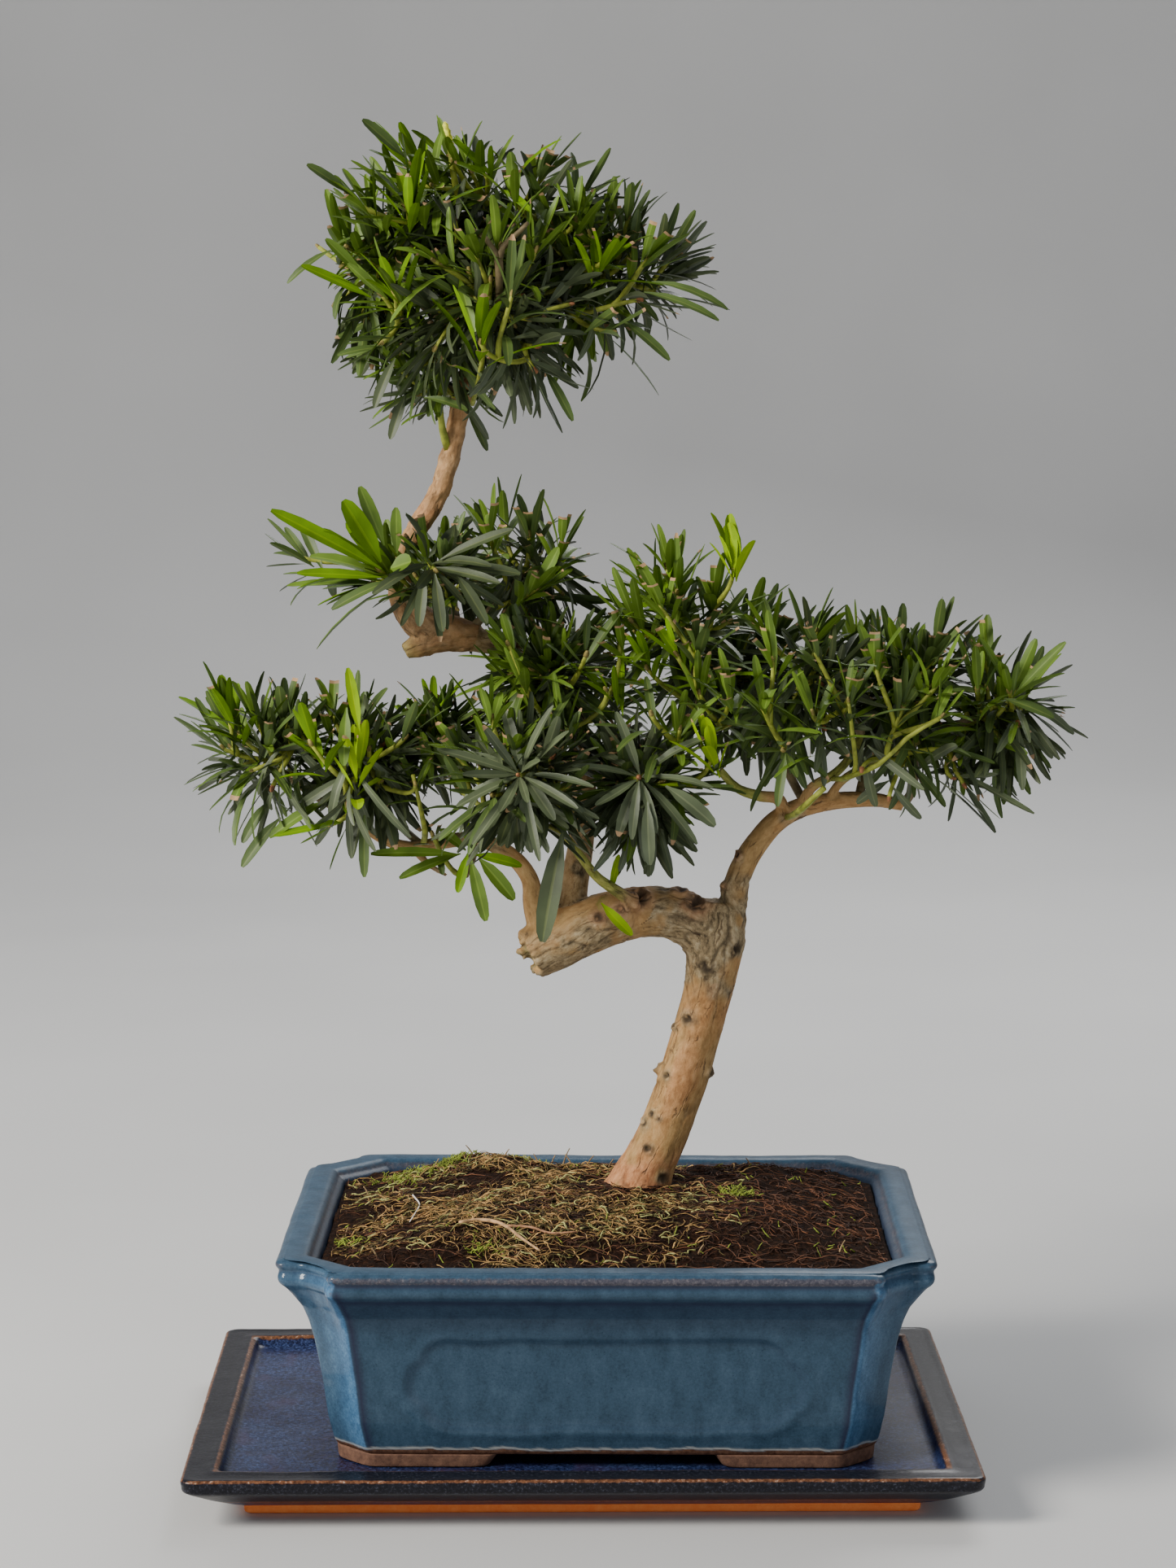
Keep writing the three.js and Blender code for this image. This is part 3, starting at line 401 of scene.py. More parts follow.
class Look:
    """A procedural material: one Principled surface and the nodes that feed it."""

    def __init__(self, name, **settings):
        self.material = bpy.data.materials.new(name)
        self.material.use_nodes = True
        self.tree = self.material.node_tree
        self.surface = self.tree.nodes["Principled BSDF"]
        self.place = self.add("ShaderNodeTexCoord").outputs["Object"]
        for socket, value in settings.items():
            self.surface.inputs[socket.replace("_", " ")].default_value = value

    def add(self, kind, links=None, **settings):
        node = self.tree.nodes.new(kind)
        for key, value in settings.items():
            setattr(node, key, value)
        for socket, source in (links or {}).items():
            if isinstance(source, bpy.types.NodeSocket):
                self.tree.links.new(source, node.inputs[socket])
            else:
                node.inputs[socket].default_value = source
        return node

    def stretched(self, stretch):
        return self.add("ShaderNodeMapping", {0: self.place, 3: stretch}).outputs[0]

    def noise(self, size, detail=3, rough=0.55, stretch=None):
        """Noise from 0 to 1 with features about size millimetres across."""
        place = self.place if stretch is None else self.stretched(stretch)
        links = {"Vector": place, "Scale": 1 / (size * MM), "Detail": detail, "Roughness": rough}
        return self.add("ShaderNodeTexNoise", links).outputs[0]

    def specks(self, size):
        """Distance from the middle of random cells about size millimetres across."""
        links = {"Vector": self.place, "Scale": 1 / (size * MM)}
        return self.add("ShaderNodeTexVoronoi", links).outputs[0]

    def wander(self, size, reach):
        """A vector that pushes places about by up to half of reach millimetres."""
        links = {"Vector": self.place, "Scale": 1 / (size * MM), "Detail": 2}
        push = {0: self.add("ShaderNodeTexNoise", links).outputs[1], 1: (reach * MM,) * 3}
        return self.add("ShaderNodeVectorMath", push, operation="MULTIPLY").outputs[0]

    def value(self, name):
        return self.add("ShaderNodeAttribute", attribute_name=name).outputs["Fac"]

    def fit(self, source, low, high, start=0.0, end=1.0):
        links = {0: source, 1: low, 2: high, 3: start, 4: end}
        return self.add("ShaderNodeMapRange", links).outputs[0]

    def math(self, operation, first, second):
        return self.add("ShaderNodeMath", {0: first, 1: second}, operation=operation).outputs[0]

    def ramp(self, source, stops):
        node = self.add("ShaderNodeValToRGB", {0: source})
        elements = node.color_ramp.elements
        while len(elements) < len(stops):
            elements.new(0.5)
        for element, (place, colour) in zip(elements, stops):
            element.position = place
            element.color = (*colour, 1)
        return node.outputs[0]

    def mix(self, share, first, second):
        node = self.add("ShaderNodeMix", data_type="RGBA")
        for socket, source in ((0, share), (6, first), (7, second)):
            if isinstance(source, bpy.types.NodeSocket):
                self.tree.links.new(source, node.inputs[socket])
            elif socket == 0:
                node.inputs[socket].default_value = source
            else:
                node.inputs[socket].default_value = (*source, 1)
        return node.outputs[2]

    def share(self, part, source):
        return self.math("MULTIPLY", source, part)

    def feed(self, socket, source):
        self.tree.links.new(source, self.surface.inputs[socket])

    def colour(self, source):
        self.feed("Base Color", source)

    def bump(self, height, depth, strength=1.0):
        """Fine relief, depth millimetres from the lowest to the highest."""
        links = {"Height": height, "Distance": depth * MM, "Strength": strength}
        node = self.add("ShaderNodeBump", links)
        self.feed("Normal", node.outputs[0])


def tray_glaze():
    """Speckled cobalt that pools blue and purple, black on the rim and brown on its edges."""
    coat = {"Coat_Weight": 0.05, "Coat_Roughness": 0.1}
    look = Look("cobalt_glaze", Roughness=0.3, Specular_IOR_Level=0.2, **coat)
    mottle = look.noise(1.1, 4, 0.75)
    cloud = look.noise(30, 3)
    deep = look.ramp(mottle, [
        (0.38, (0.002, 0.002, 0.007)), (0.5, (0.009, 0.012, 0.044)), (0.66, (0.036, 0.05, 0.15)),
    ])
    pale = look.ramp(mottle, [
        (0.36, (0.004, 0.006, 0.022)), (0.5, (0.013, 0.023, 0.075)), (0.68, (0.075, 0.115, 0.26)),
    ])
    body = look.mix(look.fit(cloud, 0.4, 0.6), deep, pale)
    violet = look.fit(look.noise(22, 2, 0.5, (1.4, 1, 1)), 0.56, 0.7, 0, 0.45)
    body = look.mix(violet, body, (0.05, 0.03, 0.07))
    black = look.ramp(mottle, [
        (0.4, (0.004, 0.004, 0.007)), (0.56, (0.011, 0.011, 0.017)), (0.7, (0.06, 0.065, 0.09)),
    ])
    body = look.mix(look.value("shade"), body, black)
    brown = look.ramp(look.noise(1.6, 4, 0.7), [
        (0.35, (0.05, 0.02, 0.01)), (0.58, (0.2, 0.085, 0.04)), (0.72, (0.5, 0.38, 0.3)),
    ])
    ragged = look.fit(look.noise(2.4, 3), 0.3, 0.7, -0.2, 0.2)
    thin = look.fit(look.math("ADD", look.value("thin"), ragged), 0.4, 0.7)
    look.colour(look.mix(thin, body, brown))
    look.bump(look.noise(2.6, 2), 0.1)
    return look.material


def pot_glaze():
    """Teal blue, paler on the rim, with painted light on the facets and painted shade under the lip and
    inside the rim, purple-grey on the lip and bare clay at the foot.
    """
    look = Look("teal_blue_glaze", Coat_Roughness=0.07, Specular_IOR_Level=0.12)
    streak = look.noise(6, 4, 0.6, (1, 1, 0.5))
    fine = look.noise(1.0, 4, 0.75)
    blend = look.math("ADD", look.share(0.5, streak), look.share(0.5, fine))
    body = look.ramp(blend, [
        (0.36, (0.022, 0.047, 0.074)), (0.5, (0.034, 0.068, 0.107)), (0.64, (0.05, 0.092, 0.137)),
    ])
    bright = look.ramp(blend, [
        (0.36, (0.03, 0.085, 0.17)), (0.5, (0.055, 0.145, 0.27)), (0.66, (0.12, 0.25, 0.4)),
    ])
    # Paler blue on the rim, and painted light on the facets that face the key.
    body = look.mix(look.value("bright"), body, bright)
    # Darker where the glaze pools, with painted shade under the lip, in the grooves and on the inner wall.
    body = look.mix(look.share(0.85, look.value("deep")), body, (0.02, 0.021, 0.046))
    specks = look.fit(look.specks(2.6), 0.07, 0.14, 1.0, 0.0)
    body = look.mix(look.share(0.5, specks), body, (0.008, 0.022, 0.045))
    brown = look.ramp(look.noise(1.2, 4, 0.75), [
        (0.36, (0.04, 0.035, 0.05)), (0.55, (0.095, 0.085, 0.1)), (0.72, (0.22, 0.19, 0.19)),
    ])
    ragged = look.fit(look.noise(2.2, 4, 0.7), 0.3, 0.7, -0.3, 0.3)
    thin = look.fit(look.math("ADD", look.value("thin"), ragged), 0.35, 0.95)
    body = look.mix(look.share(0.85, thin), body, brown)
    body = look.mix(look.value("edge"), body, (0.5, 0.5, 0.46))
    clay = look.ramp(look.noise(2, 4, 0.7), [
        (0.35, (0.08, 0.036, 0.022)), (0.65, (0.19, 0.095, 0.056)),
    ])
    look.colour(look.mix(look.value("clay"), body, clay))
    look.feed("Roughness", look.fit(look.value("clay"), 0, 1, 0.34, 0.85))
    look.feed("Coat Weight", look.fit(look.value("gloss"), 0, 1, 0.0, 0.5))
    look.bump(look.noise(3, 3), 0.08)
    return look.material


def bare_clay(name, dark, light):
    look = Look(name, Roughness=0.88)
    look.colour(look.ramp(look.noise(3.2, 5, 0.7), [(0.32, dark), (0.68, light)]))
    look.bump(look.noise(0.8, 3, 0.7), 0.12)
    return look.material


def soil_look():
    look = Look("potting_soil", Roughness=0.95, Specular_IOR_Level=0.1)
    look.colour(look.ramp(look.noise(1.6, 5, 0.75), [
        (0.34, (0.003, 0.0014, 0.0008)), (0.52, (0.017, 0.007, 0.0035)), (0.7, (0.06, 0.026, 0.012)),
    ]))
    look.bump(look.noise(0.9, 4, 0.8), 0.6)
    return look.material


def bark_look():
    """Thin pale bark with fine lengthwise cracks, rougher and greyer about the fork, with grey patches on
    the arm kept off its top that partly paint shade on its sides and underside.
    """
    look = Look("flaking_bark", Roughness=0.82, Specular_IOR_Level=0.3)
    look.place = look.add("ShaderNodeAttribute", attribute_name="grain").outputs["Vector"]
    fibre = look.noise(2.4, 5, 0.7, (1, 1, 0.5))
    patch = look.noise(10, 4, 0.6, (1, 1, 0.4))
    tan = look.ramp(fibre, [
        (0.3, (0.265, 0.153, 0.054)), (0.5, (0.41, 0.248, 0.095)), (0.7, (0.535, 0.35, 0.15)),
    ])
    ochre = look.ramp(fibre, [
        (0.3, (0.29, 0.148, 0.051)), (0.5, (0.445, 0.243, 0.088)), (0.7, (0.55, 0.34, 0.148)),
    ])
    grey = look.ramp(look.noise(2.6, 5, 0.72, (1, 1, 0.6)), [
        (0.32, (0.07, 0.05, 0.028)), (0.43, (0.23, 0.165, 0.085)), (0.55, (0.39, 0.29, 0.155)),
        (0.7, (0.56, 0.46, 0.29)),
    ])
    body = look.mix(look.fit(patch, 0.42, 0.6), tan, ochre)
    # Grey where the bark is weathered, and on the arm's sides and underside as painted shade.
    body = look.mix(look.value("weathered_and_shaded"), body, grey)
    red = look.ramp(fibre, [(0.35, (0.34, 0.12, 0.045)), (0.65, (0.68, 0.32, 0.15))])
    body = look.mix(look.value("red"), body, red)
    green = look.ramp(fibre, [
        (0.3, (0.13, 0.14, 0.026)), (0.5, (0.28, 0.29, 0.055)), (0.72, (0.46, 0.42, 0.12)),
    ])
    body = look.mix(look.value("green"), body, green)
    flecks = look.fit(look.noise(1.3, 4, 0.75, (1, 1, 0.4)), 0.63, 0.7)
    body = look.mix(look.share(0.6, flecks), body, (0.13, 0.075, 0.035))
    pushed = {0: look.stretched((1, 1, 0.2)), 1: look.wander(2.5, 1.6)}
    warped = look.add("ShaderNodeVectorMath", pushed).outputs[0]
    edges = {"Vector": warped, "Scale": 1 / (4.6 * MM)}
    edge = look.add("ShaderNodeTexVoronoi", edges, feature="DISTANCE_TO_EDGE").outputs[0]
    line = look.fit(edge, 0.006, 0.05, 1.0, 0.0)
    broken = look.fit(look.noise(5, 3, 0.6, (1, 1, 0.5)), 0.5, 0.62)
    crack = look.share(0.8, look.math("MULTIPLY", line, broken))
    body = look.mix(crack, body, (0.09, 0.05, 0.025))
    body = look.mix(look.value("dark"), body, (0.028, 0.018, 0.011))
    look.colour(body)
    fine = look.share(0.4, look.noise(0.7, 3, 0.7, (1, 1, 0.3)))
    look.bump(look.math("SUBTRACT", fine, crack), 0.3)
    return look.material


def plain_look(name, colour, spread, roughness, size=14, sheen=0.35):
    """A living surface: one plain base colour with a mild change of tone across it."""
    look = Look(name, Roughness=roughness, Specular_IOR_Level=sheen)
    dark = tuple(channel * (1 - spread) for channel in colour)
    light = tuple(channel * (1 + spread) for channel in colour)
    look.colour(look.ramp(look.noise(size, 2), [(0.36, dark), (0.64, light)]))
    look.bump(look.noise(1.2, 2), 0.05)
    return look.material


# ---------------------------------------------------------------- tray and pot


def rounded_ring(length, depth, corner, steps):
    """A rectangle with round corners, anticlockwise seen from above."""
    ring = []
    for turn, x, y in ((-0.5, 1, -1), (0, 1, 1), (0.5, -1, 1), (1, -1, -1)):
        middle = (x * (length / 2 - corner), y * (depth / 2 - corner))
        for step in range(steps + 1):
            angle = (turn + 0.5 * step / steps) * math.pi
            ring.append([middle[0] + corner * math.cos(angle), middle[1] + corner * math.sin(angle)])
    return np.array(ring)


def subdivided(ring, counts):
    """The ring with each edge cut into its own number of steps."""
    pieces = []
    for start, end, count in zip(ring, np.roll(ring, -1, axis=0), counts):
        share = np.arange(count)[:, None] / count
        pieces.append(lerp(start, end, share))
    return np.vstack(pieces)


def smooth_profile(rows, spacing, blur):
    """A profile's rows at even steps along it, with its corners rounded by the blur, in mm."""
    rows = np.array(rows, float)
    length = run_length(rows[:, :2])
    dense = at_steps(np.linspace(0, length[-1], round(length[-1] / spacing)), length, rows)
    for _ in range(max(1, round((blur / spacing) ** 2))):
        ease_between_ends(dense)
    return dense


def convexity(verts, normals, reach):
    """How far each point of a grid of rings stands out of its own blurred surroundings."""
    blurred = verts.copy()
    for _ in range(reach):
        blurred = eased(blurred, 1)
        ease_between_ends(blurred)
    return np.einsum("lrk,lrk->lr", verts - blurred, normals)


def grid_normals(verts):
    around = np.roll(verts, -1, 1) - np.roll(verts, 1, 1)
    down = np.gradient(verts, axis=0)
    return unit(np.cross(down, around))


TRAY_PROFILE = [  # inset, height
    (60, 16.0), (20, 16.0), (17, 16.1), (15.3, 16.5), (14.4, 17.6), (13.6, 19), (12.4, 19.9), (11, 20.1),
    (8, 19.75), (4, 19.7), (2, 19.95), (0.8, 19.9), (0.1, 19.2), (0.1, 17.8), (0.5, 16.9), (0.4, 15.6),
    (1, 14.6), (2.4, 13.6), (10, 9.2), (17.6, 5.4), (20.2, 4.5), (20.8, 4.05),
]
TRAY_FOOT_PROFILE = [(20.8, 4.4), (21.8, 4.05), (22.2, 3.4), (22.3, 1), (23, 0.1), (26, 0), (60, 0)]
CORNER_COUNTS = [1] * 5
SIDE_STEPS = {"short": 70, "long": 110}


def tray_rings(profile, spacing, blur):
    """The tray's outline, once for each step of a profile."""
    counts = (CORNER_COUNTS + [SIDE_STEPS["short"]] + CORNER_COUNTS + [SIDE_STEPS["long"]]) * 2
    rings = []
    for inset, height in smooth_profile(profile, spacing, blur):
        corner = max(1.2, TRAY["corner"] - 0.12 * inset)
        length, depth = TRAY["length"] - 2 * inset, TRAY["depth"] - 2 * inset
        ring = subdivided(rounded_ring(length, depth, corner, len(CORNER_COUNTS)), counts)
        rings.append(np.column_stack([ring, np.full(len(ring), height)]))
    return np.array(rings)


def build_tray():
    verts = tray_rings(TRAY_PROFILE, 0.7, 0.5)
    normals = grid_normals(verts)
    wobble = noise(verts, 22, 3) * 0.22 + noise(verts, 5, 4) * 0.07
    flat = smoothstep(verts[..., 2], 15.4, 16.4)
    verts = verts + normals * (wobble * (0.4 + 0.6 * flat))[..., None]
    to_end = TRAY["length"] / 2 - np.abs(verts[..., 0])
    inset = np.minimum(to_end, TRAY["depth"] / 2 - np.abs(verts[..., 1]))
    raised = smoothstep(verts[..., 2], 18.4, 19.4)
    thin = bell(inset, 12.6, 1.1) + raised * bell(inset, 0.7, 0.8)
    shade = np.maximum(0.85 * raised, smoothstep(TRAY["lip"] - inset, 0, 1))
    values = {"thin": np.clip(thin, 0, 1), "shade": shade}
    tray = ring_mesh("tray_glazed_plate", verts, tray_glaze(), values, close_first=True)
    finish_piece(tray, "tray_glaze", ["drip_tray"])
    foot = tray_rings(TRAY_FOOT_PROFILE, 0.5, 0.3)
    foot[..., 2] = np.maximum(foot[..., 2], 0)
    low = smoothstep(foot[..., 2], 0.3, 1.2)
    foot = foot + grid_normals(foot) * (noise(foot, 6, 8, 2) * 0.12 * low)[..., None]
    clay = bare_clay("orange_terracotta", (0.9, 0.21, 0.045), (0.97, 0.3, 0.07))
    finish_piece(ring_mesh("tray_bare_foot", foot, clay), "bare_clay")


# Down from the rim, inset, notch size and how far the notch is a true notch.
POT_PROFILE = [
    (0.5, 3.2, 21, 1), (0.7, 1.9, 21, 1), (1.4, 0.7, 21, 1), (2.6, 0.1, 21, 1), (3.6, 0.5, 21, 1),
    (4.4, 1.5, 20.8, 1), (5, 1.9, 20.4, 1), (5.8, 1.6, 20.2, 1), (7, 1.1, 20, 0.98),
    (8.6, 1.2, 19.8, 0.95), (10.2, 2.2, 19.4, 0.9), (11.4, 3.9, 18.8, 0.82), (14.5, 6.6, 17.5, 0.6),
    (19.5, 10.3, 16, 0.4), (25, 12.6, 15, 0.25), (33, 14.8, 14, 0.1), (48, 17.5, 13.5, 0),
    (63, 19.4, 13, 0), (72, 21.4, 13, 0), (74.2, 22.2, 13, 0), (75, 23.4, 13, 0),
]
# Down from the rim and inset, from the lip to under the soil.
CAVITY_PROFILE = [
    (12, 17.6), (7, 16.6), (4.6, 16), (3.6, 15), (3, 13.6), (1.2, 12.6), (0.3, 11.4), (0, 9),
    (0, 6), (0.3, 3.6),
]
FOOT_PROFILE = [(-0.27, 0), (4.1, 1.6), (4.6, 2.4)]  # down from the base, and how far drawn in
FOOT_COUNTS = [16, 6, 14, 10, 6, 10, 6]
WALL_STEPS = {"long": 122, "short": 90, "corner": 7}
WALL_LENGTH = {"long": 215, "short": 165}
GLAZE_LINE = 2.1  # how far above the body's bottom the glaze ends
FRONT_LEFT = (-118, -92)  # the corner that mirrors the light
# The low panel on each wall: a straight body that ends in two shoulders and a round tip.
WINDOW = {
    "middle": 49.5, "half_height": 17, "end": 16, "shoulder": 11, "shoulder_up": 6, "tip": 9.5,
    "tip_out": 7, "half_front": 74, "half_side": 52, "beyond": 9.0,
}


def half_depth_at(inset):
    return POT["depth"] / 2 - min(inset, RIM_WIDTH) - max(0, inset - RIM_WIDTH) * LONG_WALL_SLOPE


def corner_places(notch, hollow):
    """One corner's points, as distances back along one edge and forward along the next."""
    inner = notch * NOTCH["hollow"]
    rounding = NOTCH["round"]
    notched = [(notch + rounding, 0), (notch, rounding), (notch, inner)]
    notched += [(on, back) for back, on in reversed(notched)]
    shares = (0, 0.12, 0.38, 0.62, 0.88, 1)
    return [
        (lerp(notch * (1 - share), back, hollow), lerp(notch * share, on, hollow))
        for share, (back, on) in zip(shares, notched)
    ]


def pot_ring(inset, notch, hollow):
    """The pot's outline in its own frame, finely stepped, with its corners softened."""
    length = POT["length"] / 2 - inset
    depth = half_depth_at(inset)
    corner = corner_places(notch, hollow)
    ring = [(length - back, on - depth) for back, on in corner]
    ring += [(length - on, depth - back) for back, on in corner]
    ring += [(back - length, depth - on) for back, on in corner]
    ring += [(on - length, back - depth) for back, on in corner]
    turns = [WALL_STEPS["corner"]] * 5
    counts = (turns + [WALL_STEPS["short"]] + turns + [WALL_STEPS["long"]]) * 2
    ring = subdivided(np.array(ring), counts)
    for _ in range(4):
        ring = eased(ring, 0)
    return ring


def corner_shares():
    """For each column of the pot: its share along a corner's facet towards the long wall, or -1,
    and how far along its wall it is from the nearer corner, in millimetres."""
    facet = np.linspace(0, 1, 5 * WALL_STEPS["corner"])
    shares, runs = [], []
    for wall, towards in (("short", facet[::-1]), ("long", facet)) * 2:
        steps = np.arange(WALL_STEPS[wall])
        to_corner = np.minimum(steps, len(steps) - steps)
        shares += [towards, np.full(len(steps), -1.0)]
        runs += [np.zeros(len(facet)), to_corner * WALL_LENGTH[wall] / len(steps)]
    return np.concatenate(shares)[None], np.concatenate(runs)[None]


def in_row_frame(verts):
    """Points of the slightly turned pot, in the row's frame."""
    turn = POT["turn"]
    x = verts[..., 0] * math.cos(turn) - verts[..., 1] * math.sin(turn) + POT["x"]
    y = verts[..., 0] * math.sin(turn) + verts[..., 1] * math.cos(turn) + POT["y"]
    return np.stack([x, y, verts[..., 2]], -1)


def window(across, height, half_length):
    """Signed distance to a long window with lobed ends: under 0 is inside."""
    up = height - WINDOW["middle"]
    past = np.abs(across) - (half_length - WINDOW["end"])
    body = np.maximum(past, np.abs(up) - WINDOW["half_height"])
    shoulder = np.hypot(past, np.abs(up) - WINDOW["shoulder_up"]) - WINDOW["shoulder"]
    tip = np.hypot(past - WINDOW["tip_out"], up) - WINDOW["tip"]
    return np.minimum(np.minimum(body, shoulder), tip)


def pot_grid():
    """Rings from inside the soil over the rim to the base, and which of them are outside."""
    inside = smooth_profile(CAVITY_PROFILE, 0.6, 0.75)
    rings = [(down, inset, OPENING_CHAMFER, 0.0) for down, inset in inside]
    opening = len(rings)
    rings += [tuple(row) for row in smooth_profile(POT_PROFILE, 0.6, 1.2)]
    share = np.clip((np.arange(len(rings)) - opening + 6) / 9, 0, 1)
    verts = []
    for level, (down, inset, notch, hollow) in enumerate(rings):
        if level < opening and share[level] > 0:
            hollow = smoothstep(share[level], 0, 1)
        ring = pot_ring(inset, notch, hollow)
        verts.append(np.column_stack([ring, np.full(len(ring), RIM_TOP - down)]))
    return np.array(verts), np.arange(len(rings))[:, None] >= opening


def window_distance(verts, normals):
    """How far each point of the grid is outside the low panel on its wall."""
    facing_y = np.abs(normals[..., 1]) > 0.85
    facing_x = np.abs(normals[..., 0]) > 0.85
    x, y, height = np.moveaxis(verts, -1, 0)
    front = np.where(facing_y, window(x, height, WINDOW["half_front"]), WINDOW["beyond"])
    side = np.where(facing_x, window(y, height, WINDOW["half_side"]), WINDOW["beyond"])
    return np.minimum(front, side) + noise(verts, 16, 21) * 0.8


def glaze_values(verts, outer, bulge, panel):
    """Where the pot's glaze is thin, pooled, glossy or missing and paler on the rim, with painted light on
    its facets and painted shade under the lip and inside.
    """
    x, y, height = np.moveaxis(verts, -1, 0)
    down = RIM_TOP - height
    line = BODY_BOTTOM + GLAZE_LINE + noise(verts, 7, 9, 3) * 1.5
    clay = smoothstep(line - height, -0.15, 0.2) * outer
    edge = bell(height - line, 0.45, 0.4) * outer
    turn, run = corner_shares()
    facet = smoothstep(down, 1, 4) * (turn >= 0) * outer
    rim = smoothstep(height, RIM_TOP - 2.6, RIM_TOP - 0.8)
    # Painted light: the corner facets are lighter towards the long walls, as if lit by the key, and a
    # quarter dimmer on the right.
    lit = (0.2 + 0.7 * smoothstep(turn, 0.25, 0.9)) * np.where(x > 0, 0.75, 1)
    wall = (turn < 0) * outer
    lip = smoothstep(down, 0.9, 2.2) * smoothstep(4.8 - down, 0, 0.8)
    lip = lip * (0.85 + 0.3 * smoothstep(x, -90, 40))
    stained = 0.75 * bell(down, 2.4, 1.6) * ~outer
    worn = 0.7 * smoothstep(bulge, 0.2, 0.5) * (panel > 6)
    thin = np.maximum(np.maximum(lip * wall, stained), worn)
    # Darker blue in the grooves and round the panel, partly pooled glaze and partly painted shade; the
    # seams at the corners are pooled glaze.
    groove = 0.9 * bell(down, 5, 1.1) + 0.6 * bell(down, 11.8, 1.5)
    # Painted shade in the cove under the lip, fading down the wall.
    painted_shade_under_lip = 0.4 * smoothstep(down, 10.5, 13) * smoothstep(32 - down, 0, 18)
    seam = bell(run, 1.8, 2.2) * wall * smoothstep(down, 5, 9)
    pooled_glaze_and_shade = np.maximum((groove + painted_shade_under_lip) * (wall + 0.35 * facet), seam)
    pooled_glaze_and_shade = np.maximum(pooled_glaze_and_shade, 0.2 * bell(panel, 0, 1.8) * outer)
    # Painted shade on the inner wall below the rim.
    pooled_glaze_and_shade = np.maximum(pooled_glaze_and_shade, 0.75 * smoothstep(down, 1.4, 5) * ~outer)
    from_corner = np.hypot(x - FRONT_LEFT[0], y - FRONT_LEFT[1])
    left_corner = smoothstep(40 - from_corner, 0, 20)
    gloss = (0.3 + 0.7 * left_corner * facet) * outer * (1 - clay)
    return {
        "gloss": np.clip(gloss, 0, 1), "clay": clay, "edge": edge * 0.8,
        "bright": np.clip(0.1 * rim + facet * lit, 0, 1), "thin": thin, "deep": np.clip(pooled_glaze_and_shade, 0, 1),
    }


def build_pot():
    verts, outer = pot_grid()
    normals = grid_normals(verts)
    panel = window_distance(verts, normals)
    sunk = smoothstep(-panel, -2.4, 2.4) * outer
    ridge = bell(panel, 3, 2) * outer
    wobble = noise(verts, 30, 5) * 0.28 + noise(verts, 8, 6) * 0.1
    verts = verts + normals * (wobble + 0.4 * ridge - 0.8 * sunk)[..., None]
    values = glaze_values(verts, outer, convexity(verts, normals, 6), panel)
    pot = ring_mesh("pot_glazed_body", in_row_frame(verts), pot_glaze(), values)
    finish_piece(pot, "pot_glaze", ["pot"])


def foot_ring(pull):
    """The outline of one foot in its corner of the base, drawn in by the pull."""
    width, chamfer, worn = POT_FOOT["width"], NOTCH["base"], 0.25 * pull
    front = POT_FOOT["front_leg"] - pull * POT_FOOT["slope"]
    side = POT_FOOT["side_leg"] - pull * POT_FOOT["slope"]
    outline = [
        (chamfer, worn), (front, worn), (front, width), (width, width), (width, side),
        (worn, side), (worn, chamfer),
    ]
    ring = subdivided(np.array(outline), FOOT_COUNTS)
    return eased(eased(ring, 0), 0)


def build_pot_feet():
    """Four L-shaped feet with sloped ends and worn edges."""
    half_length = POT["length"] / 2 - POT_BASE_INSET
    half_depth = half_depth_at(POT_BASE_INSET)
    levels = smooth_profile(FOOT_PROFILE, 0.4, 0.3)
    total = sum(FOOT_COUNTS)
    one_foot = len(levels) * total
    verts, walls, ends, soles = [], [], [], []
    clay = bare_clay("brown_foot_clay", (0.08, 0.036, 0.022), (0.2, 0.1, 0.058))
    for number, (x_side, y_side) in enumerate(((-1, -1), (-1, 1), (1, -1), (1, 1))):
        rings = []
        for down, pull in levels:
            ring = foot_ring(pull)
            x, y = x_side * (half_length - ring[:, 0]), y_side * (half_depth - ring[:, 1])
            height = POT_BOTTOM + POT_FOOT["height"] - down
            rings.append(np.column_stack([x, y, np.full(total, height)]))
        rings = np.array(rings)
        if x_side * y_side < 0:
            rings = rings[:, ::-1]
        first = number * one_foot
        top = first + np.arange(total)[None]
        walls.append(grid_faces(len(rings), total, first)[:, ::-1])
        ends.append(top)
        soles.append(top[:, ::-1] + one_foot - total)
        verts.append(in_row_frame(rings).reshape(-1, 3))
    names = [f"pot_foot_{end}_{hand}" for end in ("front", "back") for hand in ("left", "right")]
    feet = make_mesh("pot_feet", np.vstack(verts), [*walls, *ends, *soles], [clay])
    finish_piece(feet, "bare_clay", names)


# ---------------------------------------------------------------- soil


def in_pot_frame(x, y):
    across, on = x - POT["x"], y - POT["y"]
    cos, sin = math.cos(POT["turn"]), math.sin(POT["turn"])
    return across * cos + on * sin, on * cos - across * sin


def soil_level(x, y):
    """Height of the soil without its crumbs at a place in the row's frame."""
    outward = np.maximum(
        np.abs(x - SEAT[0]) / np.abs(np.where(x > SEAT[0], SOIL["right"], SOIL["left"]) - SEAT[0]),
        np.abs(y - SEAT[1]) / np.abs(np.where(y > SEAT[1], SOIL["back"], SOIL["front"]) - SEAT[1]),
    )
    rise = 1 - smoothstep(outward, SOIL["level"], 1.05)
    level = lerp(RIM_TOP - SOIL["edge_down"], SOIL["top"] + 1, rise)
    across, on = in_pot_frame(x, y)
    for heap_x, heap_y, radius, height in HEAPS:
        level = level + height * bell(across, heap_x, radius) * bell(on, heap_y, radius)
    return level


